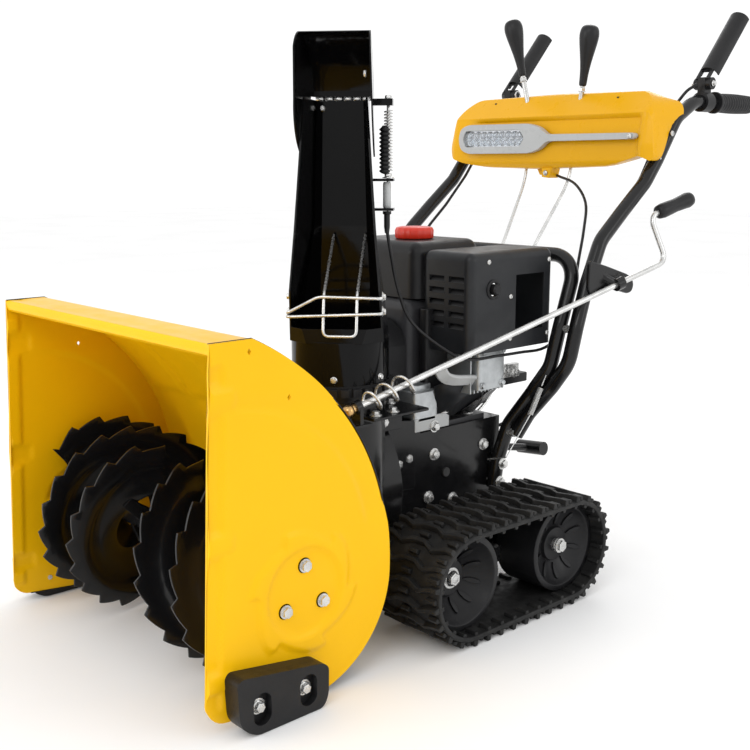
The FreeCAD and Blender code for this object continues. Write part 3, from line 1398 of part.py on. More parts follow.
def build():
    fill_sheet()
    housing_shell()
    side_plate("side_plate_left", size("clearing_half"))
    side_plate("side_plate_right", -size("clearing_half") - size("plate_thick"))
    impeller_drum()
    scraper_bar()
    skid_shoes()
    auger_bearings()
    auger_gearbox()
    auger("auger_left", 1)
    auger("auger_right", -1)
    auger_shaft()
    impeller()
    impeller_shaft()
    chassis_case()
    belt_cover()
    root_bolts()
    crankshaft()
    drive_belts()
    friction_disc()
    friction_wheel()
    drive_axle()
    drive_wheels()
    idler_wheel("idler_wheel_left", 1)
    idler_wheel("idler_wheel_right", -1)
    track_frames()
    track_belt("track_belt_left", 1)
    track_belt("track_belt_right", -1)
    chute_base()
    chute_body()
    chute_deflector()
    wire_guard()
    deflector_rod()
    deflector_cable()
    crank_rod()
    crank_knob()
    crank_brackets()
    engine_block()
    cylinder_head()
    recoil_housing()
    recoil_handle()
    fuel_tank()
    fuel_cap()
    heater_cover()
    choke_knob()
    muffler()
    lower_handle()
    upper_handles()
    console_shell()
    lamp_housing()
    lamp_lens()
    hand_grips()
    control_lever("speed_lever", (52, LEVER_Y, LEVER_Z), (84, 985, 960))
    control_lever("deflector_lever", (-59, LEVER_Y, LEVER_Z), (-100, 980, 985))
    clutch_lever("clutch_lever_left", 1, 48)
    clutch_lever("clutch_lever_right", -1, 48)
    lever_mounts()
    control_cables()
    shift_rods()
    tilt_pedal()
    doc.recompute()


def check():
    """Stop before writing when any object failed or any sub-part has no sound shape."""
    faults = [thing.Name for thing in doc.Objects if {"Invalid", "Error"} & set(thing.State)]
    for part in nodes:
        if part.Shape.isNull() or not part.Shape.isValid() or not part.Shape.Solids:
            faults.append(part.Label)
    if faults:
        raise SystemExit("failed: " + ", ".join(faults))


def write():
    os.makedirs("parts", exist_ok=True)
    for part in nodes:
        part.Shape.exportStep(os.path.join("parts", part.Label + ".step"))
    print(len(nodes), "nodes written")


build()
check()
write()
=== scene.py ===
import json
import math

import bmesh
import bpy
from mathutils import Matrix, Vector
from mathutils.geometry import delaunay_2d_cdt


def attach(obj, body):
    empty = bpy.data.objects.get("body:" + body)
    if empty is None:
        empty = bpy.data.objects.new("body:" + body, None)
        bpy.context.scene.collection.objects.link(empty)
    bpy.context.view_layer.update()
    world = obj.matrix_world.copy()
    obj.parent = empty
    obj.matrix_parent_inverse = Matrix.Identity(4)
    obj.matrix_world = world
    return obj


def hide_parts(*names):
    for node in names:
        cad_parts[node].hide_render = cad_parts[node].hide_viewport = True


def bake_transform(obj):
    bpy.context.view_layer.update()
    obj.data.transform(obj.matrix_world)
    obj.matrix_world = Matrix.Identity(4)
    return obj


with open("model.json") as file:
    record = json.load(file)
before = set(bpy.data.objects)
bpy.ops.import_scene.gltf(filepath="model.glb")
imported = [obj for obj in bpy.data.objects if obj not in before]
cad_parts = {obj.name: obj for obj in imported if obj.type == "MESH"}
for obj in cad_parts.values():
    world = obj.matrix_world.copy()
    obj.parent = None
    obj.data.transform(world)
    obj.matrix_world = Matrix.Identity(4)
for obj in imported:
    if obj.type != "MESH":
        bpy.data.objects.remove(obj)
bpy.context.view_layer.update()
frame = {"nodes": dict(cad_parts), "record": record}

# The look of a two stage snowblower on rubber tracks, in metres, +Z up, +Y towards the operator.
# Lengths below are written in millimetres of the machine's own frame: X across, Y from the auger
# housing's front edge, Z from the ground. machine() shifts such a point to the frame's origin, and
# piece() turns the finished shape into metres.
FRONT_REACH = 639.2


def machine(x, y, z):
    """Machine millimetres to the frame's millimetres."""
    return Vector((x, y - FRONT_REACH, z))


# ---------------------------------------------------------------- materials

CHIP_WIDTH = 0.0012
SOFT_EDGE = 0.0006
DUST_COLOUR = (0.62, 0.60, 0.56, 1.0)


class Nodes:
    """Small helper round one material's node tree."""

    def __init__(self, name):
        self.material = bpy.data.materials.new(name)
        self.material.use_nodes = True
        self.tree = self.material.node_tree
        self.shader = self.tree.nodes["Principled BSDF"]
        self.place = self.tree.nodes.new("ShaderNodeTexCoord").outputs["Object"]

    def feed(self, socket, value):
        """Link another node's output to a socket, or set the socket's constant."""
        if isinstance(value, bpy.types.NodeSocket):
            self.tree.links.new(value, socket)
        else:
            socket.default_value = value

    def new(self, kind, inputs=None, **settings):
        made = self.tree.nodes.new("ShaderNode" + kind)
        for key, value in settings.items():
            setattr(made, key, value)
        for key, value in (inputs or {}).items():
            self.feed(made.inputs[key], value)
        return made

    def noise(self, scale, detail=4.0, roughness=0.55):
        return self.new("TexNoise", {"Vector": self.place, "Scale": scale, "Detail": detail,
                                     "Roughness": roughness}).outputs[0]

    def spread(self, value, low, high, start=0.35, end=0.65):
        """value's middle range mapped to low..high."""
        return self.new("MapRange", {"Value": value, "From Min": start, "From Max": end,
                                     "To Min": low, "To Max": high}).outputs[0]

    def mix(self, share, first, second):
        made = self.new("Mix", {0: share, 6: first, 7: second}, data_type="RGBA")
        return made.outputs[2]

    def edges(self, radius):
        """1 along convex and concave edges, 0 on open faces."""
        rounded = self.new("Bevel", {"Radius": radius}, samples=4).outputs[0]
        flat = self.new("NewGeometry").outputs["Normal"]
        dot = self.new("VectorMath", {0: rounded, 1: flat}, operation="DOT_PRODUCT").outputs["Value"]
        return self.spread(dot, 1.0, 0.0, 0.90, 0.995)

    def bump(self, height, strength, distance, normal=None):
        inputs = {"Height": height, "Strength": strength, "Distance": distance}
        if normal:
            inputs["Normal"] = normal
        return self.new("Bump", inputs).outputs[0]

    def link(self, value, socket):
        self.tree.links.new(value, self.shader.inputs[socket])


def rgb(colour, gain=1.0):
    return tuple(min(1.0, c * gain) for c in colour[:3]) + (1.0,)


def surface(name, colour, rough, metal=0.0, coat=0.0, coat_rough=0.08, specular=0.5, mottle=(6.0, 0.06),
            rough_spread=0.05, grain=(900.0, 0.08, 0.0002), wave=None, dust=0.0, wear=None):
    """Procedural surface: mottled colour, varied roughness, fine relief, dust and worn edges."""
    made = Nodes(name)
    scale, amount = mottle
    large = made.noise(scale, 5.0)
    base = made.mix(made.spread(large, 0.0, 1.0), rgb(colour, 1.0 - amount), rgb(colour, 1.0 + amount))
    fine = made.noise(grain[0], 3.0, 0.6)
    speckle = made.spread(fine, 0.0, 0.5 * amount + 0.04, 0.45, 0.75)
    base = made.mix(speckle, base, rgb(colour, 0.55))
    if dust:
        share = made.spread(made.noise(26.0, 8.0, 0.65), 0.0, dust, 0.48, 0.78)
        base = made.mix(share, base, DUST_COLOUR)
    if wear:
        bare, most = wear
        chips = made.spread(made.noise(120.0, 4.0), 0.0, 1.0, 0.40, 0.62)
        share = made.new("Math", {0: made.edges(CHIP_WIDTH), 1: chips}, operation="MULTIPLY").outputs[0]
        base = made.mix(made.spread(share, 0.0, most, 0.0, 1.0), base, rgb(bare))
    made.link(base, "Base Color")
    patchy = made.noise(scale * 5 + 14.0, 6.0, 0.6)
    made.link(made.spread(patchy, max(0.02, rough - rough_spread), min(1.0, rough + rough_spread)),
              "Roughness")
    for socket, value in (("Metallic", metal), ("Specular IOR Level", specular), ("Coat Weight", coat),
                          ("Coat Roughness", coat_rough)):
        made.shader.inputs[socket].default_value = value
    normal = made.new("Bevel", {"Radius": SOFT_EDGE}, samples=4).outputs[0]
    if wave:
        normal = made.bump(made.noise(wave[0], 2.0, 0.5), wave[1], wave[2], normal)
    made.link(made.bump(fine, grain[1], grain[2], normal), "Normal")
    return made.material


def lens_material():
    made = Nodes("clear_lens")
    made.shader.inputs["Transmission Weight"].default_value = 0.9
    made.shader.inputs["IOR"].default_value = 1.46
    tint = made.spread(made.noise(60.0), 0.0, 1.0)
    made.link(made.mix(tint, (0.93, 0.95, 0.97, 1), (0.86, 0.90, 0.93, 1)), "Base Color")
    made.link(made.spread(made.noise(200.0), 0.01, 0.03), "Roughness")
    made.link(made.bump(made.noise(340.0), 0.03, 0.0002), "Normal")
    return made.material


LOOKS = {
    "yellow_paint": dict(colour=(0.86, 0.475, 0.002), rough=0.34, coat=0.05, coat_rough=0.12,
                         specular=0.14, mottle=(3.0, 0.03), grain=(700.0, 0.04, 0.0002),
                         wave=(60.0, 0.05, 0.0006), wear=((0.50, 0.30, 0.03), 0.20)),
    "black_paint": dict(colour=(0.006, 0.006, 0.0065), rough=0.22, coat=0.12, coat_rough=0.10,
                        specular=0.28, mottle=(5.0, 0.2), grain=(520.0, 0.10, 0.0002),
                        wave=(120.0, 0.05, 0.0004), wear=((0.08, 0.08, 0.08), 0.35)),
    "grey_paint": dict(colour=(0.035, 0.035, 0.038), rough=0.40, specular=0.3,
                       grain=(600.0, 0.12, 0.0002), wear=((0.18, 0.18, 0.18), 0.3)),
    "steel": dict(colour=(0.62, 0.62, 0.61), rough=0.27, metal=0.82, mottle=(40.0, 0.12),
                  grain=(420.0, 0.06, 0.0002), rough_spread=0.08),
    "alloy": dict(colour=(0.46, 0.48, 0.49), rough=0.42, metal=0.8, mottle=(30.0, 0.14),
                  grain=(330.0, 0.25, 0.0004), dust=0.04, rough_spread=0.12),
    "iron": dict(colour=(0.07, 0.07, 0.07), rough=0.50, metal=0.7, mottle=(30.0, 0.2),
                 grain=(300.0, 0.35, 0.0004)),
    "belt_rubber": dict(colour=(0.010, 0.010, 0.010), rough=0.60, mottle=(14.0, 0.25),
                        grain=(420.0, 0.30, 0.0004), dust=0.03, specular=0.28, rough_spread=0.10),
    "grip_rubber": dict(colour=(0.008, 0.008, 0.009), rough=0.50, mottle=(20.0, 0.2),
                        grain=(700.0, 0.30, 0.0003), dust=0.01, specular=0.28),
    "black_plastic": dict(colour=(0.009, 0.009, 0.010), rough=0.42, mottle=(8.0, 0.18),
                          grain=(800.0, 0.25, 0.0002), dust=0.01, specular=0.28),
    "gloss_black": dict(colour=(0.003, 0.003, 0.0033), rough=0.10, coat=0.02, coat_rough=0.05,
                        specular=0.13, mottle=(4.0, 0.2), grain=(420.0, 0.08, 0.0002),
                        wave=(40.0, 0.08, 0.0014)),
    "grey_cover": dict(colour=(0.013, 0.014, 0.016), rough=0.38, mottle=(7.0, 0.12),
                       grain=(900.0, 0.25, 0.0002), dust=0.01, specular=0.28),
    "light_grey": dict(colour=(0.42, 0.43, 0.43), rough=0.30, coat=0.1, mottle=(6.0, 0.05),
                       grain=(800.0, 0.08, 0.0002), specular=0.35),
    "yellow_plastic": dict(colour=(0.72, 0.365, 0.002), rough=0.30, coat=0.06, coat_rough=0.12,
                           mottle=(3.0, 0.03), grain=(850.0, 0.08, 0.0002), specular=0.16,
                           wave=(50.0, 0.02, 0.0004)),
    "red_plastic": dict(colour=(0.66, 0.030, 0.012), rough=0.36, mottle=(10.0, 0.06),
                        grain=(800.0, 0.15, 0.0002)),
    "brass": dict(colour=(0.52, 0.33, 0.14), rough=0.28, metal=1.0, mottle=(40.0, 0.10),
                  grain=(420.0, 0.10, 0.0002)),
    "lamp_white": dict(colour=(0.90, 0.92, 0.95), rough=0.20, mottle=(40.0, 0.05),
                       grain=(420.0, 0.05, 0.0002)),
    "lamp_silver": dict(colour=(0.75, 0.77, 0.80), rough=0.22, metal=0.9, mottle=(60.0, 0.10),
                        grain=(420.0, 0.05, 0.0002)),
}

MATERIALS = {name: surface(name, **look) for name, look in LOOKS.items()}
MATERIALS["clear_lens"] = lens_material()

for entry in frame["record"]["subparts"]:
    shown = frame["nodes"][entry["node"]]
    shown.data.materials.clear()
    shown.data.materials.append(MATERIALS[entry["material_slot"]])

# ---------------------------------------------------------------- shapes: lists of points and faces


def turned_points(radius, count):
    """Points of a circle about the origin."""
    return [(radius * math.cos(2 * math.pi * k / count), radius * math.sin(2 * math.pi * k / count))
            for k in range(count)]


def band(near, far, size):
    """Faces that join two closed rows of points by the numbers of their first points."""
    return [(near + k, near + (k + 1) % size, far + (k + 1) % size, far + k) for k in range(size)]


def moved(shape, matrix):
    points, faces = shape
    flip = matrix.to_3x3().determinant() < 0
    return [matrix @ p for p in points], [f[::-1] if flip else f for f in faces]


def joined(*shapes):
    points, faces = [], []
    for some_points, some_faces in shapes:
        start = len(points)
        points += some_points
        faces += [tuple(i + start for i in f) for f in some_faces]
    return points, faces


def facing(at, axis, turn=0.0):
    """Matrix that carries Z to axis and the origin to at."""
    spin = Vector(axis).normalized().to_track_quat("Z", "Y").to_matrix().to_4x4()
    return Matrix.Translation(Vector(at)) @ spin @ Matrix.Rotation(turn, 4, "Z")


MIRROR = Matrix.Scale(-1, 4, (1, 0, 0))


def lathe(profile, sides=32):
    """Closed solid of revolution about Z from (radius, height) points, first and last on the axis."""
    points, faces, rings = [], [], []
    for radius, height in profile:
        if radius < 1e-9:
            rings.append([len(points)])
            points.append(Vector((0, 0, height)))
        else:
            rings.append(range(len(points), len(points) + sides))
            points += [Vector((x, y, height)) for x, y in turned_points(radius, sides)]
    for low, high in zip(rings, rings[1:]):
        if len(low) > 1 and len(high) > 1:
            faces += band(low[0], high[0], sides)
            continue
        for number in range(sides):
            after = (number + 1) % sides
            if len(high) > 1:
                faces.append((low[0], high[after], high[number]))
            elif len(low) > 1:
                faces.append((low[number], low[after], high[0]))
    return points, [f[::-1] for f in faces] if profile[0][1] > profile[-1][1] else faces


def ring(profile, sides=32):
    """Closed ring of revolution about Z; the profile's last point joins its first."""
    points, faces = [], []
    count = len(profile)
    for cos, sin in turned_points(1.0, sides):
        points += [Vector((r * cos, r * sin, z)) for r, z in profile]
    for number in range(sides):
        faces += band((number + 1) % sides * count, number * count, count)
    return points, faces


def prism(outline, low, high):
    """Solid between two heights over an outline of (x, y) points."""
    count = len(outline)
    points = [Vector((x, y, z)) for z in (low, high) for x, y in outline]
    return points, [tuple(range(count))[::-1], tuple(range(count, 2 * count))] + band(0, count, count)


def corner_arc(before, at, after, bend, share, steps):
    """Curve round one corner that takes no more than a share of either side."""
    back, ahead = before - at, after - at
    cut = min(bend, back.length * share, ahead.length * share)
    start, end = at + back.normalized() * cut, at + ahead.normalized() * cut
    return [(1 - t) ** 2 * start + 2 * t * (1 - t) * at + t ** 2 * end
            for t in (step / steps for step in range(steps + 1))]


def rounded_outline(corners, radius, steps=5):
    """Corners of an outline replaced by arcs."""
    made = []
    count = len(corners)
    for k in range(count):
        around = [Vector(corners[(k + j) % count]) for j in (-1, 0, 1)]
        made += [tuple(p) for p in corner_arc(*around, radius, 0.45, steps)]
    return made


def smooth_path(points, per_run=8):
    """Catmull-Rom path through the points."""
    points = [Vector(p) for p in points]
    path = []
    for k in range(len(points) - 1):
        b, c = points[k], points[k + 1]
        a = points[k - 1] if k else b + (b - c)
        d = points[k + 2] if k + 2 < len(points) else c + (c - b)
        for step in range(per_run):
            t = step / per_run
            path.append(0.5 * (2 * b + (c - a) * t + (2 * a - 5 * b + 4 * c - d) * t * t
                               + (3 * b - a - 3 * c + d) * t ** 3))
    return path + [points[-1]]


def round_corners(points, bend, steps=6):
    """Straight runs joined by arcs of about the bend's size."""
    points = [Vector(p) for p in points]
    path = [points[0]]
    for before, at, after in zip(points, points[1:], points[2:]):
        path += corner_arc(before, at, after, bend, 0.48, steps)
    return path + [points[-1]]


def sweep(path, section):
    """Solid of a section, (x, y) points or a radius, carried along a path without twisting."""
    if not isinstance(section, (list, tuple)):
        section = turned_points(section, 12)
    count, size = len(path), len(section)
    points, faces = [], []
    across = None
    for k, at in enumerate(path):
        along = (path[min(k + 1, count - 1)] - path[max(k - 1, 0)]).normalized()
        if across is None:
            across = along.orthogonal().normalized()
        across = (across - along * across.dot(along)).normalized()
        up = along.cross(across)
        points += [at + across * x + up * y for x, y in section]
    for k in range(count - 1):
        faces += band(k * size, (k + 1) * size, size)
    return points, faces + [tuple(range(size))[::-1], tuple(range((count - 1) * size, count * size))]


def coil(radius, pitch, turns, wire, per_turn=14):
    """Open coil about Z."""
    path = []
    for step in range(int(turns * per_turn) + 1):
        turn = 2 * math.pi * step / per_turn
        path.append(Vector((radius * math.cos(turn), radius * math.sin(turn), pitch * step / per_turn)))
    return sweep(path, wire)


def flange_bolt(width, height, washer=0.0):
    """Hexagon head on a round flange, Z outwards from the face it sits on."""
    flat, top = width / 2, washer + height
    flange = lathe([(0, washer), (flat * 1.35, washer), (flat * 1.38, washer + 0.5),
                    (flat * 1.15, washer + 1.6), (0, washer + 1.7)], 28)
    hexagon = turned_points(flat / math.cos(math.pi / 6), 6)
    points = [Vector((x * share, y * share, level)) for share, level in
              ((1.0, washer + 1.0), (1.0, top - 1.0), (0.86, top)) for x, y in hexagon]
    head = points, [tuple(range(6))[::-1], tuple(range(12, 18))] + band(0, 6, 6) + band(6, 12, 6)
    cap = lathe([(0, top), (flat * 0.62, top), (flat * 0.55, top + 0.35), (0, top + 0.35)], 20)
    if not washer:
        return joined(flange, head, cap)
    return joined(flange, head, cap, lathe(
        [(0, 0), (flat * 1.75, 0), (flat * 1.8, 0.3), (flat * 1.75, washer), (0, washer)], 28))


def bolt(at, axis, width, height, washer=0.0, turn=0.0):
    """Flange bolt seated at a point, its head along an axis."""
    return moved(flange_bolt(width, height, washer), facing(at, axis, turn))


def screw_head(radius=4.0, height=2.4):
    """Round head with a cross recess."""
    rim = lathe([(0, 0), (radius, 0), (radius, height * 0.35), (radius * 0.75, height * 0.85),
                 (radius * 0.5, height), (radius * 0.46, height * 0.6), (0, height * 0.55)], 24)
    bar = prism([(-radius * 0.42, -radius * 0.1), (radius * 0.42, -radius * 0.1),
                 (radius * 0.42, radius * 0.1), (-radius * 0.42, radius * 0.1)], height * 0.3, height * 0.62)
    return joined(rim, bar, moved(bar, Matrix.Rotation(math.pi / 2, 4, "Z")))


def piece(name, shape, material, body, slot=None, smooth=35.0, bevel=0.0, replaces=(), subdivide=0,
          thicken=0.0, merge=False):
    """Object of a shape in millimetres, in metres from here on, that rides on a body.

    A piece that blends between two bodies is made with no body.
    """
    points, faces = shape
    mesh = bpy.data.meshes.new(name)
    mesh.from_pydata([p / 1000 for p in points], [], faces)
    mesh.validate()
    if merge:
        work = bmesh.new()
        work.from_mesh(mesh)
        bmesh.ops.remove_doubles(work, verts=work.verts, dist=1e-6)
        bmesh.ops.recalc_face_normals(work, faces=work.faces)
        work.to_mesh(mesh)
        work.free()
    mesh.polygons.foreach_set("use_smooth", [True] * len(mesh.polygons))
    mesh.set_sharp_from_angle(angle=math.radians(smooth))
    made = bpy.data.objects.new(name, mesh)
    bpy.context.scene.collection.objects.link(made)
    if thicken:
        solid = made.modifiers.new("thickness", "SOLIDIFY")
        solid.thickness, solid.offset = thicken / 1000, 0.0
    if bevel:
        edge = made.modifiers.new("edges", "BEVEL")
        edge.width, edge.segments, edge.limit_method = bevel / 1000, 2, "ANGLE"
        edge.angle_limit = math.radians(38)
    if subdivide:
        finer = made.modifiers.new("smooth", "SUBSURF")
        finer.levels = finer.render_levels = subdivide
    mesh.materials.append(MATERIALS[material])
    if body:
        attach(made, body)
    if replaces:
        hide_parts(*replaces)
    return made


def machine_at(x, y, z):
    return Matrix.Translation(machine(x, y, z))


# IN_PLACE carries a shape drawn in machine millimetres to the frame, SIDE_ON one whose outline is
# (y, z) points and whose height runs along X, front_on(y) one whose outline is (x, z) points.
IN_PLACE = machine_at(0, 0, 0)
SIDE_ON = IN_PLACE @ Matrix(((0, 0, 1, 0), (1, 0, 0, 0), (0, 1, 0, 0), (0, 0, 0, 1)))
RIGHT, UP, FORWARD = (1, 0, 0), (0, 0, 1), (0, -1, 0)


def front_on(y):
    return machine_at(0, y, 0) @ Matrix.Rotation(math.pi / 2, 4, "X")


# ---------------------------------------------------------------- housing

AUGER_Y, AUGER_Z, BELLY = 137.0, 157.0, 155.0
PLATE_OUT = 287.5
PLATE_THICK = 3.0
HOUSING_TOP = 506.5
PLATE_BOLTS = [(138, 194), (105, 138), (168, 137)]
SQUARE_HOLES = [(57, 491), (118, 425)]
SKID_BOLTS = [(43, 34), (118, 34)]
SKID_IN, SKID_POCKET, SKID_OUT = 288.0, 306.0, 318.0
DRUM_Z, DRUM_RADIUS = 197.0, 152.0
SHELL_HALF, SHELL_THICK = 284.3, 2.4
CHASSIS_FACE, LEG_FACE, FEET_TOP = 112.0, 138.5, 283.0
CHASSIS_BOLTS = [(471, 232), (494, 238), (557, 233), (680, 229), (544, 160), (603, 146), (465, 101)]
LEG_BOLTS = [(696, 162), (703, 194)]
ENGINE_FEET = [(-85, 560), (85, 560), (-85, 665), (85, 665)]


def arc_through(start, middle, end, steps):
    """Points of the arc through three plane points, without its first."""
    (ax, ay), (bx, by), (cx, cy) = start, middle, end
    d = 2 * (ax * (by - cy) + bx * (cy - ay) + cx * (ay - by))
    a2, b2, c2 = ax * ax + ay * ay, bx * bx + by * by, cx * cx + cy * cy
    ux = (a2 * (by - cy) + b2 * (cy - ay) + c2 * (ay - by)) / d
    uy = (a2 * (cx - bx) + b2 * (ax - cx) + c2 * (bx - ax)) / d
    radius = math.hypot(ax - ux, ay - uy)
    first, mid, last = (math.atan2(y - uy, x - ux) for x, y in (start, middle, end))
    sweep_to = (last - first) % (2 * math.pi)
    if (mid - first) % (2 * math.pi) > sweep_to:
        sweep_to -= 2 * math.pi
    return [(ux + radius * math.cos(first + sweep_to * k / steps),
             uy + radius * math.sin(first + sweep_to * k / steps)) for k in range(1, steps + 1)]


def on_belly(degrees):
    turn = math.radians(degrees)
    return (AUGER_Y + BELLY * math.cos(turn), AUGER_Z + BELLY * math.sin(turn))


def back_curve():
    """Side profile from the top's front edge over the back and round the belly, as (y, z) points."""
    line = [(0.0, HOUSING_TOP), (63.0, HOUSING_TOP)]
    line += arc_through(line[-1], (167, 437), (212, 391), 16)
    line += arc_through(line[-1], (275, 276), on_belly(0), 16)
    line += arc_through(line[-1], on_belly(-45), on_belly(-104), 28)
    return line + [(8.0, 16.0)]


def side_outline():
    line = back_curve()
    return line + arc_through(line[-1], (-13, 26), (-20, 52), 8)


def ramp(value, low, high):
    """0 below low, 1 above high, smooth between."""
    t = min(1.0, max(0.0, (value - low) / (high - low)))
    return t * t * (3 - 2 * t)


def bump_between(value, low, high, soft):
    return ramp(value, low - soft / 2, low + soft / 2) * (1 - ramp(value, high - soft / 2, high + soft / 2))


def plate_relief(y, z):
    """Outward height of the pressed pattern on a side plate."""
    edge = -20 + 20 * max(0.0, z - 52) / (HOUSING_TOP - 52)
    inset = y - edge
    strip = 0.0
    for low, high in ((36, 58), (88, 236), (271, 417), (455, 477)):
        strip = max(strip, bump_between(z, low, high, 7))
    height = -3.4 * strip * (1 - ramp(inset, 17, 22))
    for low, high in ((423, 448), (243, 265), (62, 82)):
        share = bump_between(z, low, high, 8) * (1 - ramp(inset, 34, 41))
        height += 2.0 * share
    away = math.hypot(y - AUGER_Y, z - AUGER_Z)
    angle = math.degrees(math.atan2(z - AUGER_Z, y - AUGER_Y))
    tooth = ((angle - 52) / 60) % 1.0
    lobe = 71 + 15 * ramp(tooth, 0.08, 1.0)
    height += 3.6 * ramp(away, 58, 65) * (1 - ramp(away, lobe, lobe + 7))
    height -= 0.8 * (1 - ramp(away, 52, 58))
    reach = math.hypot(y - 20, z - 190)
    height -= 3.2 * ramp(reach, 226, 236) * ramp(z, 215, 250) * (1 - ramp(z, 405, 440))
    return height


def plane_mesh(outline, holes=(), pitch=0.0, low=(0, 0), high=(0, 0)):
    """Triangulated flat region, with inner points at a pitch in a box: ((u, v) points, triangles)."""
    points, edges = [], []
    for loop in [outline, *holes]:
        first, size = len(points), len(loop)
        points += [Vector(p) for p in loop]
        edges += [(first + k, first + (k + 1) % size) for k in range(size)]
    row, v = 0, low[1]
    while v < high[1]:
        u = low[0] + (pitch / 2 if row % 2 else 0)
        while u < high[0]:
            if near_none(u, v, outline, holes, pitch * 0.45):
                points.append(Vector((u, v)))
            u += pitch
        v += pitch * 0.87
        row += 1
    made = delaunay_2d_cdt(points, edges, [], 0, 1e-4)
    used = [Vector(p) for p in made[0]]
    triangles = []
    for face in made[2]:
        middle = sum((used[k] for k in face), Vector((0, 0))) / 3
        if inside(middle, outline) and not any(inside(middle, hole) for hole in holes):
            triangles.append(face)
    return used, triangles


def near_none(u, v, outline, holes, gap):
    at = Vector((u, v))
    return inside(at, outline) and all(
        (at - Vector(p)).length > gap for loop in [outline, *holes] for p in loop)


def inside(at, loop):
    """Whether a plane point lies in a closed loop."""
    result = False
    x, y = at
    for (ax, ay), (bx, by) in zip(loop, loop[1:] + loop[:1]):
        if (ay > y) != (by > y) and x < (bx - ax) * (y - ay) / (by - ay) + ax:
            result = not result
    return result


def sheet_solid(skin, normals, triangles, thick):
    """Closed solid of a thin sheet: its skin, a copy a thickness below and walls along the edges."""
    count = len(skin)
    points = list(skin) + [p - n * thick for p, n in zip(skin, normals)]
    faces = [tuple(t) for t in triangles] + [tuple(k + count for k in t[::-1]) for t in triangles]
    return points, faces + [(b, a, a + count, b + count) for a, b in border(triangles)]


def plate(outline, holes, low, high):
    """Solid between two heights over an outline with holes."""
    flat, triangles = plane_mesh(outline, holes)
    skin = [Vector((u, v, high)) for u, v in flat]
    return sheet_solid(skin, [Vector(UP)] * len(skin), triangles, high - low)


def border(triangles):
    """Directed edges that belong to one triangle only."""
    seen = dict.fromkeys((t[k], t[(k + 1) % 3]) for t in triangles for k in range(3))
    return [(a, b) for a, b in seen if (b, a) not in seen]


def square_hole(y, z, half=2.9):
    return [(y - half, z), (y, z - half * 1.5), (y + half, z), (y, z + half * 1.5)]


def make_side_plates():
    holes = [square_hole(y, z) for y, z in SQUARE_HOLES]
    flat, triangles = plane_mesh(side_outline(), holes, 4.6, (-22, 0), (296, 510))
    skin = [machine(PLATE_OUT + plate_relief(y, z), y, z) for y, z in flat]
    shape = sheet_solid(skin, [Vector(RIGHT)] * len(skin), triangles, PLATE_THICK)
    for name, turned in (("side_plate_left", shape), ("side_plate_right", moved(shape, MIRROR))):
        piece("pressed_" + name, turned, "yellow_paint", "machine", smooth=50, merge=True,
              replaces=[name])


def fixed_bolts():
    """Every hexagon bolt of the fixed frame."""
    heads = []
    for side in (1, -1):
        for spots, face, width, height, washer in (
                (PLATE_BOLTS, PLATE_OUT - 2, 12.5, 7.0, 1.2), (SKID_BOLTS, SKID_POCKET, 12.5, 7.5, 1.6),
                (CHASSIS_BOLTS, CHASSIS_FACE, 12.0, 7.0, 1.2), (LEG_BOLTS, LEG_FACE, 12.0, 7.0, 1.2)):
            for y, z in spots:
                heads.append(bolt(machine(side * face, y, z), (side, 0, 0), width, height, washer,
                                  0.3 * len(heads)))
    for x, y in ENGINE_FEET:
        heads.append(bolt(machine(x, y, FEET_TOP), UP, 13.0, 8.0, 1.5, 0.3 * len(heads)))
    piece("frame_bolt_heads", joined(*heads), "steel", "machine", bevel=0.25, smooth=30)


def make_housing_shell():
    """Sheet bent from the front lip over the top and back to the belly, with the way out to the impeller."""
    line = [(7.0, 488.0), (2.2, 490.0), (0.4, 496.0), (0.0, 503.0), (1.4, 505.8)] + back_curve()[1:-8]
    runs = [0.0]
    for (ay, az), (by, bz) in zip(line, line[1:]):
        runs.append(runs[-1] + math.hypot(by - ay, bz - az))
    total = runs[-1]

    def at(run):
        k = max(j for j in range(len(runs) - 1) if runs[j] <= run or j == 0)
        size = runs[k + 1] - runs[k]
        here, along = Vector(line[k]), (Vector(line[k + 1]) - Vector(line[k])) / size
        here += along * (run - runs[k])
        return here.x, here.y, along

    def run_at(z):
        k = next(k for k in range(len(line)) if line[k][0] > 200 and line[k][1] >= z >= line[k + 1][1])
        return runs[k] + (line[k][1] - z) / (line[k][1] - line[k + 1][1]) * (runs[k + 1] - runs[k])

    hole = [(x, run_at(DRUM_Z + rise)) for x, rise in turned_points(DRUM_RADIUS - 3, 64)]
    edge = [(-SHELL_HALF, 0.0)] + [(SHELL_HALF, run) for run in runs]
    edge += [(-SHELL_HALF, run) for run in runs[:0:-1]]
    flat, triangles = plane_mesh(edge, [hole], 9.0, (-SHELL_HALF, 0), (SHELL_HALF, total))
    skin, outwards = [], []
    for x, run in flat:
        y, z, along = at(min(run, total - 1e-6))
        normal = Vector((0, -along.y, along.x))
        pads = max(bump_between(abs(x), low, high, 9) for low, high in ((30, 140), (162, 262)))
        pads *= bump_between(run, 96, 330, 14)
        lip = bump_between(run, 34, 46, 6)
        skin.append(machine(x, y, z) - normal * (2.2 * pads + 1.2 * lip))
        outwards.append(normal)
    piece("housing_sheet", sheet_solid(skin, outwards, triangles, SHELL_THICK), "yellow_paint", "machine",
          smooth=40, merge=True, replaces=["housing_shell"])


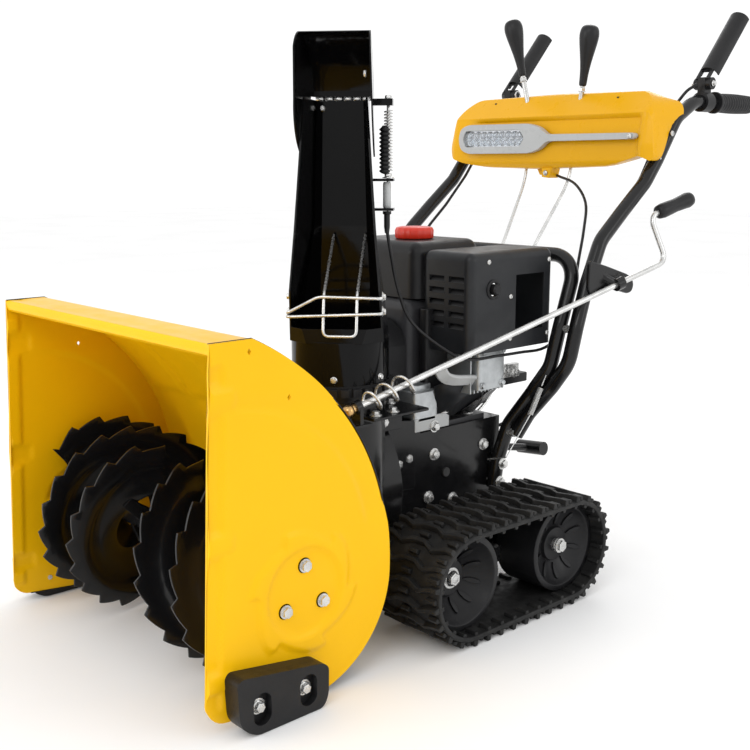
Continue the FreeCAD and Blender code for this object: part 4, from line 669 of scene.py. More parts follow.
def make_skid_shoes():
    """Moulded shoes with two sunk ovals each, over the bolts through the plates."""
    corners = [(5, 78), (13, 84), (143, 64), (153, 56), (152, 16), (144, 1), (118, -1), (98, 0), (56, 0),
               (36, 0), (18, 10), (8, 24)]
    outline = [(y, max(0.3, z)) for y, z in rounded_outline(corners, 9, 4)]
    ovals = [[(y + 14 * cos, z + (9 if k <= 18 else -9) + 13 * sin)
              for k, (cos, sin) in enumerate(turned_points(1.0, 36))] for y, z in SKID_BOLTS]
    front, back = plate(outline, ovals, SKID_POCKET, SKID_OUT), plate(outline, [], SKID_IN, SKID_POCKET)
    shoe = moved(joined(front, back), SIDE_ON)
    piece("moulded_shoes", joined(shoe, moved(shoe, MIRROR)), "black_plastic", "machine", bevel=1.4,
          smooth=40, replaces=["skid_shoes"])


def make_seams():
    """Dark folded edge where each side plate meets the housing shell."""
    runs = [sweep([machine(side * (PLATE_OUT - 3.6), y, z) for y, z in back_curve()], 0.9)
            for side in (1, -1)]
    piece("housing_seams", joined(*runs), "black_paint", "machine", smooth=60)


# ---------------------------------------------------------------- auger


RIBBON_TURN, RIBBON_LOW, RIBBON_HIGH = 400.0, 58.0, 266.0
RIBBON_REACH, RIBBON_BORE, TOOTH_DEPTH = 149.0, 56.0, 13.5


def auger_ribbon(start):
    """Dished plate ribbon with a pressed step and saw teeth along its outer edge, about Z."""
    teeth, per_tooth = 22, 6
    steps = teeth * per_tooth
    stations = [(RIBBON_BORE, 9.0), (60, 7.5), (72, 4.5), (88, 3.0), (100, 2.6), (107, -0.5), (113, -4.0),
                (128, -4.6)]
    points, faces = [], []
    columns = len(stations) + 1
    for step in range(steps + 1):
        share = step / steps
        turn = math.radians(start + RIBBON_TURN * share)
        height = RIBBON_LOW + (RIBBON_HIGH - RIBBON_LOW) * share
        reach = RIBBON_REACH - TOOTH_DEPTH * ((step % per_tooth) / per_tooth) ** 1.1
        taper = 1.0 - 0.16 * (1 - ramp(share, 0, 0.06)) - 0.16 * ramp(share, 0.94, 1.0)
        for radius, rise in stations + [(reach, -4.4)]:
            radius = RIBBON_BORE + (radius - RIBBON_BORE) * (taper if radius > 60 else 1)
            points.append(Vector((radius * math.cos(turn), radius * math.sin(turn), height + rise)))
    for step in range(steps):
        for near in range(step * columns, (step + 1) * columns - 1):
            faces.append((near, near + 1, near + 1 + columns, near + columns))
    return points, faces


def make_augers():
    """Both halves of the auger: shaft tube, spokes and two serrated ribbons each."""
    stand = machine_at(0, AUGER_Y, AUGER_Z) @ Matrix.Rotation(math.pi / 2, 4, "Y")
    arm = prism(rounded_outline([(14, -12), (70, -9), (70, 9), (14, 12)], 4), -3, 3)
    spoke = moved(joined(arm, bolt((58, 0, 3), UP, 9, 4)), Matrix.Rotation(0.25, 4, "X"))
    for name, flip in (("auger_left", Matrix.Identity(4)), ("auger_right", Matrix.Scale(-1, 4, (0, 0, 1)))):
        ribbons = joined(*[auger_ribbon(start) for start in (0, 180)])
        piece(name + "_ribbons", moved(ribbons, stand @ flip), "black_paint", "auger", smooth=45,
              thicken=3.4, bevel=0.5, merge=True, replaces=[name])
        parts = [ring([(11.2, 46), (17.6, 46), (18, 47), (18, 265), (17.6, 266), (11.2, 266)])]
        for start in (0, 180):
            for share in (0.12, 0.5, 0.88):
                turn = math.radians(start + RIBBON_TURN * share)
                parts.append(moved(spoke, Matrix.Translation((0, 0, 63 + 200 * share))
                                   @ Matrix.Rotation(turn, 4, "Z")))
        piece(name + "_core", moved(joined(*parts), stand @ flip), "black_paint", "auger", smooth=40,
              bevel=0.4)


# ---------------------------------------------------------------- tracks

IDLER_Y, AXLE_Y, AXLE_Z = 433.0, 670.0, 92.5
BELT_RADIUS, BELT_THICK = 84.0, 8.0
BELT_IN, BELT_OUT = 190.0, 330.0
LUGS, BELT_STEPS = 34, 150
RIM, IDLER_HUB, DRIVE_HUB = 75.3, 272.0, 286.0


def belt_place(travel):
    """Matrix on the belt's outer face at a distance along the loop: X across, Z outwards."""
    straight, arc = AXLE_Y - IDLER_Y, math.pi * BELT_RADIUS
    travel %= 2 * (straight + arc)
    if travel < straight:
        y, z, heading = IDLER_Y + travel, AXLE_Z + BELT_RADIUS, 0.0
    elif travel < straight + arc:
        heading = -math.pi * (travel - straight) / arc
        y, z = AXLE_Y - BELT_RADIUS * math.sin(heading), AXLE_Z + BELT_RADIUS * math.cos(heading)
    elif travel < 2 * straight + arc:
        y, z, heading = AXLE_Y - (travel - straight - arc), AXLE_Z - BELT_RADIUS, math.pi
    else:
        heading = math.pi - math.pi * (travel - 2 * straight - arc) / arc
        y, z = IDLER_Y - BELT_RADIUS * math.sin(heading), AXLE_Z + BELT_RADIUS * math.cos(heading)
    return Matrix.Translation(machine(0, y, z)) @ Matrix.Rotation(heading, 4, "X")


def belt_bar(line, width, low, high):
    """Bar of trapezoid section along a zigzag of (x, y) points on the belt's face."""
    points, faces = [], []
    for x, y in line:
        for reach, level in ((width, low), (width * 0.62, high), (-width * 0.62, high), (-width, low)):
            points.append(Vector((x, y + reach / 2, level)))
    for k in range(len(line) - 1):
        faces += band(4 * k + 4, 4 * k, 4)
    last = 4 * (len(line) - 1)
    return points, faces + [(0, 1, 2, 3), (last + 3, last + 2, last + 1, last)]


def make_tracks():
    length = 2 * (AXLE_Y - IDLER_Y) + 2 * math.pi * BELT_RADIUS
    middle = (BELT_IN + BELT_OUT) / 2
    section = [(BELT_IN + 1, -BELT_THICK), (BELT_IN, -BELT_THICK + 2), (BELT_IN, -1.5), (BELT_IN + 3, 0),
               (BELT_IN + 34, 0.8), (middle, -0.6), (BELT_OUT - 34, 0.8), (BELT_OUT - 3, 0),
               (BELT_OUT, -1.5), (BELT_OUT, -BELT_THICK + 2), (BELT_OUT - 1, -BELT_THICK)]
    points, faces, size = [], [], len(section)
    for step in range(BELT_STEPS):
        place = belt_place(length * step / BELT_STEPS)
        points += [place @ Vector((x, 0, z)) for x, z in section]
        faces += band(step * size, (step + 1) % BELT_STEPS * size, size)
    parts = [(points, faces)]
    zigzag = [(BELT_IN, 3), (BELT_IN + 14, 3), (BELT_IN + 38, -5), (middle - 12, 4), (middle + 12, 4),
              (BELT_OUT - 38, -5), (BELT_OUT - 14, 3), (BELT_OUT, 3)]
    bars = [belt_bar(zigzag, 10, -1, 8.3)]
    bars += [belt_bar([(x - 9, shift), (x + 9, shift)], 9, -1, 5.0)
             for x, shift in ((BELT_IN + 12, 16), (middle, 17), (BELT_OUT - 12, 16))]
    for low, high in ((BELT_IN + 2, BELT_IN + 26), (BELT_OUT - 23, BELT_OUT - 2)):
        bar_points, bar_faces = belt_bar([(low, 0), (high, 0)], 9, -BELT_THICK + 1, -BELT_THICK - 5)
        bars.append((bar_points, [f[::-1] for f in bar_faces]))
    for number in range(LUGS):
        parts.append(moved(joined(*bars), belt_place(length * number / LUGS)))
    belt = joined(*parts)
    for side, turned in (("left", belt), ("right", moved(belt, MIRROR))):
        piece("track_tread_" + side, turned, "belt_rubber", "tracks", smooth=28, bevel=0.8,
              replaces=["track_belt_" + side])


def track_wheel(hub, bore):
    """Dished wheel about Z with lens shaped pads round its web; Z runs out of the machine."""
    web = ring([(bore, 224), (26, 224), (30, hub - 16), (60, 282), (66, 236), (69, 222), (RIM, 222),
                (RIM, 303), (RIM - 2, 304), (66, 304), (63, 300), (58, 291), (30, hub - 7), (28, hub),
                (bore, hub)], 56)
    slot = [(34, 0), (42, 3.4), (52, 4.2), (60, 2.8), (63, 0), (60, -2.8), (52, -4.2), (42, -3.4)]
    tilt = math.atan2(291 - (hub - 7), 28)
    pad = moved(prism(slot, -3.5, 3.2), Matrix.Translation((30, 0, hub - 7)) @ Matrix.Rotation(-tilt, 4, "Y")
                @ Matrix.Translation((-30, 0, 0)))
    return joined(web, *[moved(pad, Matrix.Rotation(math.pi * number / 5, 4, "Z")) for number in range(10)])


def make_wheels():
    out = Matrix.Rotation(math.pi / 2, 4, "Y")
    idler, axle = machine_at(0, IDLER_Y, AXLE_Z) @ out, machine_at(0, AXLE_Y, AXLE_Z) @ out
    ends = []
    for word, turn in (("left", Matrix.Identity(4)), ("right", MIRROR)):
        piece("idler_disc_" + word, moved(track_wheel(IDLER_HUB, 8.3), turn @ idler), "black_plastic",
              "idler_" + word, smooth=40, bevel=0.5, replaces=["idler_wheel_" + word])
        piece("idler_bolt_" + word, moved(bolt((0, 0, IDLER_HUB + 0.4), UP, 19, 9, 2.5), turn @ idler),
              "steel", "tracks", bevel=0.3, smooth=30)
        pin = moved(lathe([(0, -30), (3.4, -30), (3.4, 24), (0, 25)], 16),
                    Matrix.Translation((0, 0, 277)) @ Matrix.Rotation(math.pi / 2, 4, "X"))
        ends += [moved(part, turn @ axle) for part in (bolt((0, 0, DRIVE_HUB + 5), UP, 13, 7, 2), pin)]
    drive = moved(track_wheel(DRIVE_HUB, 10.3), axle)
    piece("drive_discs", joined(drive, moved(drive, MIRROR)), "black_plastic", "axle", smooth=40,
          bevel=0.5, replaces=["drive_wheels"])
    piece("axle_end_bolts", joined(*ends), "steel", "axle", bevel=0.3, smooth=30)


# ---------------------------------------------------------------- chute

CHUTE = machine_at(90, 370, 0) @ Matrix.Rotation(math.radians(42), 4, "Z")
HINGE_Z, HINGE_BACK = 814.0, 58.5
ROD_X, ROD_Y = 72.0, 10.0


def chute_piece(name, shape, material, body="chute", **more):
    """Piece drawn in the chute's own frame, whose Y runs to the back of the channel."""
    return piece(name, moved(shape, CHUTE), material, body, **more)


def rod_place(x=0, y=0, z=0):
    """Offset from the pull rod's foot, in the chute's frame."""
    return Matrix.Translation((ROD_X + x, ROD_Y + y, z))


def make_chute_parts():
    knuckle = lathe([(0, 0), (3.1, 0), (3.45, 0.5), (3.45, 11.7), (3.1, 12.2), (0, 12.2)], 20)
    knuckles = [moved(knuckle, facing((-43 + 14.6 * number, HINGE_BACK, HINGE_Z), RIGHT))
                for number in range(6)]
    chute_piece("hood_hinge", joined(*knuckles), "steel", bevel=0.3)
    bolts = [bolt((-32, 53.2, HINGE_Z - 14), FORWARD, 7, 3.2),
             bolt((-32, 56.6, HINGE_Z - 14), (0, 1, 0), 7, 3.2)]
    for side in (1, -1):
        bolts += [bolt((side * 69.6, -42, z), (side, 0, 0), 9, 4.5, 1) for z in (520, 498)]
    for turn in range(6):
        angle = math.radians(30 + 60 * turn)
        away = Vector((math.cos(angle), math.sin(angle), 0))
        bolts.append(bolt(away * 76 + Vector((0, 0, 398)), away, 8, 4))
    chute_piece("chute_fasteners", joined(*bolts), "steel", bevel=0.25, smooth=30)
    chute_piece("hood_side_bolts", joined(bolt((34.0, 40.5, HINGE_Z + 52), FORWARD, 8, 3.5),
                                          bolt((46.0, -34, HINGE_Z + 30), (-1, 0, 0), 9, 4)),
                "steel", "deflector", bevel=0.25)
    rod = joined(
        lathe([(0, 640), (2.6, 640), (2.6, 809), (2.2, 810), (0, 810)], 16),
        moved(coil(6.2, 4.4, 20, 0.9), Matrix.Translation((0, 0, 706))),
        bolt((0, 0, 811), UP, 9, 5), bolt((0, 0, 694.5), UP, 10, 6, 1.5))
    rod = chute_piece("hood_pull_rod", moved(rod, rod_place(2)), "steel", None, smooth=35,
                      replaces=["deflector_rod"])
    profile = [(0, 700)]
    for fold in range(11):
        low = 702 + 6.1 * fold
        profile += [(5.4, low), (8.2, low + 2.4), (8.2, low + 3.7), (5.4, low + 6.1)]
    profile += [(3.2, 772), (0, 772)]
    boot = chute_piece("hood_pull_boot", moved(lathe(profile, 24), rod_place(-3, -6)), "grip_rubber", None,
                       smooth=60)
    low, high = rod_level(700), rod_level(800)
    for thing in (rod, boot):
        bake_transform(thing)
    sleeve = lathe([(0, 650), (5.5, 650), (6.2, 652), (6.2, 686), (5.2, 689), (0, 689)], 24)
    chute_piece("cable_sleeve", moved(sleeve, rod_place()), "light_grey")
    end = lathe([(0, 612), (3.4, 612), (4.6, 622), (4.6, 640), (6.5, 641), (6.5, 645), (0, 645)], 24)
    chute_piece("cable_end", moved(end, rod_place()), "black_plastic")


def rod_level(z):
    """Point on the pull rod at a height, in the frame's metres."""
    return tuple((CHUTE @ Vector((ROD_X, ROD_Y, z))) / 1000)


def make_hood_cable():
    """Cable from the rod's foot under the heater cover and up to the hood lever."""
    foot = CHUTE @ Vector((ROD_X, ROD_Y, 616))
    route = [foot + Vector(step) for step in ((0, 0, 0), (2, 6, -34), (6, 18, -92), (14, 42, -146))]
    route += [machine(*p) for p in (
        (178, 520, 422), (182, 568, 404), (182, 632, 402), (182, 692, 401), (183, 756, 402),
        (188, 800, 430), (190, 822, 488), (188, 836, 545), (172, 870, 600), (140, 915, 645),
        (88, 950, 678), (20, 985, 692), (-35, 1003, 706), (-57, 1012, 735), (-59, 1010, 764))]
    cable = piece("hood_cable", sweep(smooth_path(route, 6), 2.6), "black_plastic", None, smooth=60,
                  replaces=["deflector_cable"])
    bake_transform(cable)


def make_wires():
    """Wire guard over the chute's lower mouth and the two shift rods under the console."""
    hairpin = [(-16, 52, 606), (-16, -60, 524), (-16, -74, 464), (34, -74, 464), (34, -60, 524),
               (34, 52, 606)]
    upper = [(71, -46, 520), (71, -64, 520), (-24, -64, 522), (-71.5, -66, 497), (-71.5, -40, 497)]
    lower = [(71.5, -46, 498), (71.5, -69, 498), (-71.5, -69, 492), (-71.5, -40, 492)]
    guard = joined(*[sweep(round_corners(run, bend, 8), 2.4) for run, bend in
                     ((hairpin, 10), (upper, 8), (lower, 8))])
    chute_piece("mouth_guard", guard, "steel", smooth=60, replaces=["wire_guard"])
    rods = []
    for x, lean in ((-36, -22), (36, 16)):
        route = [(x + lean, 986, 768), (x + lean, 984, 690), (x, 880, 540), (x, 802, 400), (x, 790, 290),
                 (x, 726, 250)]
        rods.append(sweep(round_corners([machine(*p) for p in route], 60, 10), 3.2))
    piece("lever_rods", joined(*rods), "steel", "machine", smooth=60, replaces=["shift_rods"])


# ---------------------------------------------------------------- chute crank

CRANK_FOOT, CRANK_CORNER = (190.0, 304.0, 362.0), (281.0, 967.0, 545.0)
CRANK_END, CRANK_GRIP = (255.4, 948.6, 624.4), (270.0, 1050.0, 652.0)
BALL = 9.5


def make_crank():
    """Bent rod with wire loops over its front end, the ball it ends in and its handle."""
    points = [machine(*p) for p in (CRANK_FOOT, CRANK_CORNER, CRANK_END, CRANK_GRIP)]
    rod = sweep(round_corners(points, 22, 8), 5.0)
    axis = (points[1] - points[0]).normalized()
    path = []
    for step in range(49):
        turn = 2 * math.pi * step / 16
        reach = 13.0 * ramp(step, -1, 5) * (1 - ramp(step, 43, 49)) + 3
        path.append(Vector((reach * math.cos(turn), reach * math.sin(turn), 31 * step / 16)))
    loops = moved(sweep(smooth_path(path, 2), 2.2), facing(points[0] + axis * 26, axis))
    piece("crank_bar", joined(rod, loops), "steel", "crank", smooth=60, replaces=["crank_rod"])
    ball = lathe([(BALL * math.sin(math.pi * k / 12), -BALL * math.cos(math.pi * k / 12))
                  for k in range(13)], 28)
    neck = lathe([(0, 4), (6.5, 4), (6.5, 14), (0, 14)], 20)
    piece("crank_end_ball", moved(joined(ball, neck), facing(points[0] - axis * 4, axis)), "brass", "crank",
          slot="steel", smooth=50)
    start, end = points[2], points[3]
    along = (end - start).normalized()
    length = (end - start).length
    profile = [(0, 20), (9, 20), (12, 23), (13.5, 34), (13, 50), (12.2, 66), (13.4, length - 16),
               (14.2, length - 8), (12.5, length), (8, length + 2.8), (0, length + 3)]
    piece("crank_handle", moved(lathe(profile, 32), facing(start, along)), "black_plastic", "crank_knob",
          smooth=50, replaces=["crank_knob"])


def make_guide_arm():
    """Flat black arm from the handle tube to the crank's eye."""
    outline = [(782, 556), (832, 543), (890, 526), (906, 518), (911, 505), (906, 494), (893, 491),
               (876, 496), (836, 504), (806, 500), (790, 490), (780, 510)]
    arm = moved(prism(rounded_outline(outline, 7, 4), 247, 254), SIDE_ON)
    piece("crank_arm_plate", arm, "black_paint", "machine", bevel=1.6)


# ---------------------------------------------------------------- console, levers and grips

CONSOLE_FACE, CONSOLE_MIDDLE = 952.0, (0, 1040, 790)
HANDLE_X, PIVOT_Y, PIVOT_Z = 235.0, 1136.0, 860.0
LAMP_FACE = 955.0

def console_lean(x, z):
    """Depth of the console's front face behind its foremost plane."""
    depth = 10 * min(1.0, max(0.0, (z - 748) / 52)) + 40 * min(1.0, max(0.0, (z - 804) / 42))
    depth += 6.5 * (1 - ramp(z, 796, 802)) * (1 - ramp(x, 214, 222)) * ramp(x, -205, -150)
    return depth + 16 * ramp(abs(x), 224, 262) + 8 * (1 - ramp(z, 706, 720))


def console_back(x, z):
    """Where the console's skirt ends behind a point of its outline."""
    flare = 1 + 0.07 * ramp(z, 770, 820) * ramp(abs(x), 196, 224)
    depth = 986 + 60 * ramp(z, 715, 800) if z < 800 else 1052 - 4 * ramp(z, 800, 840)
    return machine(x * flare, depth, z - 8 * ramp(z, 820, 842))


def make_console():
    corners = [(-236, 726), (-196, 715), (-150, 709), (-15, 707), (150, 711), (196, 722), (222, 730),
               (243, 719), (247, 728), (245, 752), (238, 795), (228, 824), (206, 843), (0, 845), (-200, 843),
               (-224, 824), (-234, 795), (-242, 750)]
    flat, triangles = plane_mesh(rounded_outline(corners, 16, 4), [], 5.0, (-255, 700), (255, 850))
    points = [machine(x, CONSOLE_FACE + console_lean(x, z), z) for x, z in flat]
    faces = [tuple(t) for t in triangles]
    edges = border(triangles)
    rolled, behind = {}, {}
    for k in dict.fromkeys(k for edge in edges for k in edge):
        x, z = flat[k]
        rolled[k], behind[k] = len(points), len(points) + 1
        points.append(points[k] + Vector((0, 8, 0)) + Vector((x, 0, z - 775)).normalized() * 2.5)
        points.append(console_back(x, z))
    inner = len(points)
    points.append(machine(*CONSOLE_MIDDLE))
    for a, b in edges:
        faces += [(b, a, rolled[a], rolled[b]), (rolled[b], rolled[a], behind[a], behind[b]),
                  (behind[b], behind[a], inner)]
    piece("console_cover", (points, faces), "yellow_plastic", "machine", smooth=34, merge=True,
          replaces=["console_shell"])
    tab = joined(moved(prism([(-34, 712), (20, 712), (12, 690), (-24, 694)], -3, 3), front_on(985)),
                 moved(prism([(-4, 708), (20, 708), (14, 688), (-4, 690)], -14, 14), front_on(978)))
    piece("console_tab", tab, "yellow_plastic", "machine", bevel=1.0)
    spots = [(6, 963, 698, FORWARD), (209, 942.0, 763, FORWARD)]
    for side in (1, -1):
        spots += [(side * 247, 1018, 768, (side, 0, 0)), (side * 244, 990, 722, (side, 0, 0))]
    screws = [moved(screw_head(5, 3), facing(machine(x, y, z), axis)) for x, y, z, axis in spots]
    studs = [bolt(machine(x, 1030, 840), UP, 7, 6) for x in (80, 112, 140)]
    piece("console_screws", joined(*screws, *studs), "steel", "machine", bevel=0.2)


def make_lamp():
    outline = rounded_outline([(-208, 763), (-202, 784), (-182, 792), (-24, 791), (2, 784), (20, 770),
                               (214, 769), (219, 764), (214, 758), (20, 757), (2, 742), (-24, 735),
                                (-182, 735),
                               (-202, 743)], 9, 4)
    window = rounded_outline([(-196, 764), (-188, 780), (-46, 780), (-34, 764), (-46, 748),
                              (-188, 748)], 6, 4)
    piece("lamp_surround", moved(plate(outline, [window], -957, -944), front_on(0)), "light_grey", "machine",
          bevel=2.2, smooth=40, replaces=["lamp_housing"])
    places = [facing(machine(-178 + 16 * column, LAMP_FACE, 757 + 14 * row), FORWARD)
              for row in range(2) for column in range(9)]
    cup = lathe([(0, 0), (7.2, 0), (7.2, 3.8), (6.6, 3.8), (4.4, 0.8), (2.6, 1.2), (2.6, 3.4), (0, 3.4)], 14)
    back = moved(prism(window, -957, -954), front_on(0))
    piece("lamp_lights", joined(*[moved(cup, place) for place in places], back), "lamp_silver", "machine",
          slot="light_grey", smooth=30)
    dome = lathe([(0, 1.0), (2.7, 1.0), (2.2, 2.6), (1.0, 3.6), (0, 3.8)], 12)
    piece("lamp_domes", joined(*[moved(dome, place) for place in places]), "lamp_white", "machine",
          slot="light_grey", smooth=60)


def make_levers():
    for name, x, tip in (("speed_lever", 52, (84, 985, 960)), ("deflector_lever", -59, (-100, 980, 985))):
        start = machine(x, 998, 790)
        axis = machine(*tip) - start
        length = axis.length
        knob = lathe([(0, length - 104), (6.6, length - 104), (7.4, length - 100), (7.6, length - 84),
                      (10, length - 62), (15, length - 36), (18.2, length - 18), (18.4, length - 8),
                      (16, length + 1), (11, length + 5.5), (0, length + 7)], 32)
        stem = lathe([(0, -4), (4.6, -4), (4.6, length - 102), (0, length - 102)], 20)
        nut = bolt((0, 0, length - 114), UP, 11, 8)
        piece(name + "_stem", moved(joined(stem, nut), facing(start, axis)), "steel", name, smooth=35,
              replaces=[name])
        piece(name + "_knob", moved(knob, facing(start, axis)), "black_plastic", name, smooth=60,
              subdivide=1)


def make_grips():
    """Ribbed rubber sleeves and the bolts and springs of the clutch levers."""
    profile = [(0, -1), (19.4, -1), (20, 0), (20, 5), (18, 8)]
    for number in range(13):
        at = 12 + 8.4 * number
        swell = 16.4 + 1.2 * math.sin(math.pi * number / 12)
        profile += [(swell, at), (swell + 0.9, at + 1.2), (swell + 0.9, at + 3.6), (swell, at + 4.8)]
    sleeve = lathe(profile + [(17, 122), (16.2, 127), (12, 129.4), (0, 130)], 36)
    sleeves, clamps = [], []
    for side in (1, -1):
        x, out = side * HANDLE_X, (side, 0, 0)
        sleeves.append(moved(sleeve, facing(machine(x, 1170, 827), (0, 1, 0))))
        clamps += [bolt(machine(x + 18 * side, PIVOT_Y, PIVOT_Z), out, 8, 5),
                   bolt(machine(x, PIVOT_Y, PIVOT_Z - 16), FORWARD, 8, 5),
                   moved(coil(8, 2.2, 6, 0.9),
                         facing(machine(x - 8 * side, PIVOT_Y, PIVOT_Z), (-side, 0, 0)))]
    piece("grip_sleeves", joined(*sleeves), "grip_rubber", "machine", smooth=50, replaces=["hand_grips"])
    piece("lever_hardware", joined(*clamps), "steel", "machine", bevel=0.2, smooth=35)


# ---------------------------------------------------------------- engine details

COVER_FACE = 190.0

def rounded_box(low, high, radius):
    """Box between two machine corners, its upright edges rounded; the bevel softens the rest."""
    (ax, ay, az), (bx, by, bz) = low, high
    outline = rounded_outline([(ax, ay), (bx, ay), (bx, by), (ax, by)], radius)
    return moved(prism(outline, az, bz), IN_PLACE)


def sump_and_shroud():
    """Castings and covers at the engine's foot, on the side of the crank."""
    sump = joined(rounded_box((60, 506, 296), (118, 562, 346), 9),
                  rounded_box((60, 512, 340), (108, 556, 356), 9))
    piece("sump_casting", sump, "alloy", "machine", bevel=1.5, smooth=45)
    piece("engine_foot", rounded_box((84, 506, 279), (118, 588, 303), 3), "light_grey", "machine", bevel=1.5)
    lip_path = [(156, 524, 391), (158, 534, 376), (158, 556, 368), (156, 600, 362), (152, 645, 352),
                (148, 660, 358)]
    lip = sweep(smooth_path([machine(*p) for p in lip_path], 6),
                [(-9, -4), (9, -4), (11, 0), (9, 4), (-9, 4), (-11, 0)])
    piece("shroud_lip", lip, "light_grey", "machine", bevel=0.8, smooth=50)
    side = [(120, 548, 352), (146, 560, 366), (150, 640, 352), (128, 650, 318), (118, 596, 296),
            (112, 560, 300)]
    heel = [(128, 650, 318), (150, 640, 352), (150, 676, 346), (130, 690, 330), (122, 640, 296),
            (118, 596, 296)]
    piece("shroud_side", sheet_shape(side), "grey_cover", "machine", thicken=3)
    piece("shroud_heel", sheet_shape(heel), "black_paint", "machine", thicken=3)


def make_engine_parts():
    sump_and_shroud()
    parts = [rounded_box((76, 600, 346), (148, 676, 412), 6),
             rounded_box((148, 604, 344), (170, 668, 416), 9)]
    parts += [rounded_box((77, 595 + 9 * fin, 338), (158, 598 + 9 * fin, 420), 0.8) for fin in range(10)]
    parts += [bolt(machine(170, y, z), RIGHT, 9, 5) for z in (352, 408) for y in (612, 660)]
    piece("barrel_and_cover", joined(*parts), "alloy", "machine", bevel=1.0, smooth=40,
          replaces=["cylinder_head"])
    bowl = joined(
        moved(lathe([(0, 0), (18, 0), (23, 4), (24, 26), (20, 31), (0, 31)], 32), machine_at(150, 636, 424)),
        rounded_box((128, 612, 452), (168, 662, 474), 6),
        moved(lathe([(0, 0), (8, 0), (8, 16), (0, 16)], 20), facing(machine(168, 640, 462), RIGHT)))
    piece("carburettor", bowl, "alloy", "machine", bevel=1.0, smooth=45)
    bracket = joined(rounded_box((138, 684, 352), (150, 730, 374), 4),
                     bolt(machine(150, 694, 366), RIGHT, 11, 7, 1.5),
                     bolt(machine(150, 716, 360), RIGHT, 11, 7, 1.5),
                     bolt(machine(118, 551, 284), RIGHT, 12, 7, 1.5),
                     bolt(machine(112, 578, 303), UP, 11, 8, 1.5))
    piece("engine_brackets", bracket, "steel", "machine", bevel=0.6, smooth=35)
    guard = joined(rounded_box((112, 700, 336), (140, 764, 352), 4),
                   rounded_box((84, 545, 300), (104, 700, 480), 8))
    piece("engine_guard", guard, "black_plastic", "machine", bevel=1.5)


def sheet_shape(corners):
    """One bent sheet over a ring of machine points, drawn as a fan from their middle."""
    points = [machine(*p) for p in corners]
    middle = sum(points, Vector((0, 0, 0))) / len(points)
    count = len(points)
    return points + [middle], [(k, (k + 1) % count, count) for k in range(count)]


def make_front_bracket():
    """Black plates between the impeller drum and the chassis, with their bolts."""
    side = prism(rounded_outline([(424, 190), (508, 184), (508, 300), (470, 306), (424, 306)], 5), 113, 117)
    web = prism(rounded_outline([(356, 300), (466, 296), (466, 337), (356, 337)], 4), 126, 129)
    flange = rounded_box((108, 352, 336), (188, 470, 340), 4)
    piece("front_bracket", joined(moved(side, SIDE_ON), flange, moved(web, SIDE_ON)), "black_paint",
          "machine", bevel=0.8)
    bolts = [bolt(machine(x, y, 340), UP, 11, 6, 1.2) for x, y in ((170, 372), (168, 410), (120, 448))]
    bolts += [bolt(machine(129, y, z), RIGHT, 12, 7, 1.2) for y, z in ((384, 318), (424, 314))]
    piece("front_bracket_bolts", joined(*bolts), "steel", "machine", bevel=0.25)


def make_cap():
    """Filler cap with sixteen finger grooves."""
    points, faces = lathe([(0, 0), (32, 0), (34, 2), (34.4, 14), (32, 18.5), (26, 20), (0, 20.4)], 96)
    for p in points:
        if math.hypot(p.x, p.y) > 31:
            groove = 1 - 0.035 * (0.5 + 0.5 * math.cos(16 * math.atan2(p.y, p.x))) ** 0.5
            p.x, p.y = p.x * groove, p.y * groove
    piece("filler_cap", moved((points, faces), machine_at(0, 617, 588.6)), "red_plastic", "fuel_cap",
          smooth=50, replaces=["fuel_cap"])


def make_cover_details():
    """Screws, choke ring and louvre slats of the heater cover."""
    screws = [moved(screw_head(4.2, 2.6), facing(machine(COVER_FACE, y, z), RIGHT))
              for y, z in ((752, 556), (752, 430), (655, 500), (600, 560), (655, 430))]
    piece("cover_screws", joined(*screws), "steel", "machine", bevel=0.15)
    choke = moved(ring([(11.2, -2), (16, -2), (16.5, 1.5), (14, 3.2), (11.2, 2.5)], 36),
                  facing(machine(COVER_FACE, 612, 515), RIGHT))
    slat = moved(prism([(0, 0), (34, 0), (34, 2), (0, 2)], -5, 5), Matrix.Rotation(-0.6, 4, "X"))
    slats = [moved(slat, machine_at(98 + 44 * column, 561, 455 + 19 * row))
             for row in range(5) for column in range(2)]
    piece("cover_trim", joined(choke, *slats), "black_plastic", "machine", bevel=0.3, smooth=40)


def make_springs():
    """Traction lever's return spring and its wires beside the lower handle."""
    top, low, foot = machine(200, 730, 340), machine(200, 701, 294), machine(196, 646, 228)
    along = (top - low).normalized()
    spring = moved(coil(4.2, 2.1, 24, 0.8, 12), facing(low, along))
    wires = [sweep([top, top + along * 34], 1.0), sweep([low, foot], 1.0),
             sweep([foot, machine(150, 650, 214)], 1.2)]
    piece("return_spring", joined(spring, *wires), "steel", "machine", smooth=50)


# ---------------------------------------------------------------- camera, light and floor

CAMERA_AT = machine(1348.5, -695.2, 716.8) / 1000
AZIMUTH, PITCH, ROLL = math.radians(47.88), math.radians(11.17), math.radians(-0.1)
LENS, SENSOR = 51.5, 36.0
FLOOR_HALF, FLOOR_DROP = 14.0, 0.0006


def make_camera():
    ahead = Vector((-math.sin(AZIMUTH) * math.cos(PITCH), math.cos(AZIMUTH) * math.cos(PITCH),
                    -math.sin(PITCH)))
    data = bpy.data.cameras.new("camera")
    data.lens, data.sensor_width = LENS, SENSOR
    data.clip_start, data.clip_end = 0.05, 40.0
    camera = bpy.data.objects.new("camera", data)
    bpy.context.scene.collection.objects.link(camera)
    camera.rotation_mode = "QUATERNION"
    turn = ahead.to_track_quat("-Z", "Y")
    camera.rotation_quaternion = turn @ Matrix.Rotation(ROLL, 4, "Z").to_quaternion()
    camera.location = CAMERA_AT
    bpy.context.scene.camera = camera


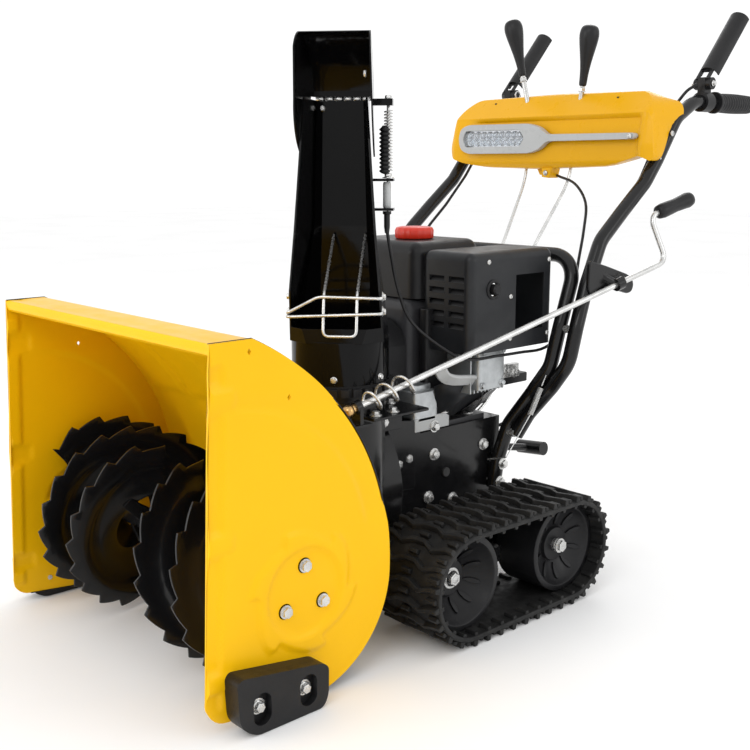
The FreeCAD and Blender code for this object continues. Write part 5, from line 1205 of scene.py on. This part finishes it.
def make_light(name, at, towards, width, height, watts):
    data = bpy.data.lights.new(name, "AREA")
    data.shape, data.size, data.size_y = "RECTANGLE", width, height
    data.energy = watts
    lamp = bpy.data.objects.new(name, data)
    bpy.context.scene.collection.objects.link(lamp)
    lamp.location = at
    lamp.rotation_mode = "QUATERNION"
    lamp.rotation_quaternion = (Vector(towards) - Vector(at)).to_track_quat("-Z", "Y")


def make_stage():
    floor = bpy.data.meshes.new("floor")
    corners = [(FLOOR_HALF * x, FLOOR_HALF * y, 0) for x, y in ((-1, -1), (1, -1), (1, 1), (-1, 1))]
    floor.from_pydata(corners, [], [(0, 1, 2, 3)])
    ground = bpy.data.objects.new("floor", floor)
    ground.location.z = -FLOOR_DROP
    bpy.context.scene.collection.objects.link(ground)
    made = Nodes("floor")
    tone = made.spread(made.noise(1.5), 0.0, 1.0)
    made.link(made.mix(tone, (0.90, 0.90, 0.90, 1), (0.94, 0.94, 0.94, 1)), "Base Color")
    made.shader.inputs["Roughness"].default_value = 0.85
    floor.materials.append(made.material)
    world = bpy.data.worlds.new("world")
    world.use_nodes = True
    sky = world.node_tree.nodes["Background"].inputs
    sky["Color"].default_value, sky["Strength"].default_value = (1.0, 1.0, 1.0, 1), 1.08
    bpy.context.scene.world = world
    bpy.context.scene.view_settings.view_transform = "Standard"
    make_light("key", (1.5, -2.9, 2.8), (0, 0, 0.4), 1.6, 1.6, 24)
    make_light("side", (3.2, 1.2, 1.5), (0, 0, 0.4), 1.4, 1.8, 14)
    make_light("front", (-1.0, -3.2, 1.3), (0, 0, 0.3), 1.6, 1.6, 24)
    make_light("back", (-1.6, 2.8, 2.6), (0, 0, 0.5), 1.6, 1.2, 16)


make_camera()
make_stage()
make_side_plates()
fixed_bolts()
make_augers()
make_tracks()
make_wheels()
make_chute_parts()
make_hood_cable()
make_wires()
make_crank()
make_console()
make_lamp()
make_levers()
make_grips()
make_engine_parts()
make_front_bracket()
make_cap()
make_cover_details()
make_housing_shell()
make_skid_shoes()
make_guide_arm()
make_seams()
make_springs()
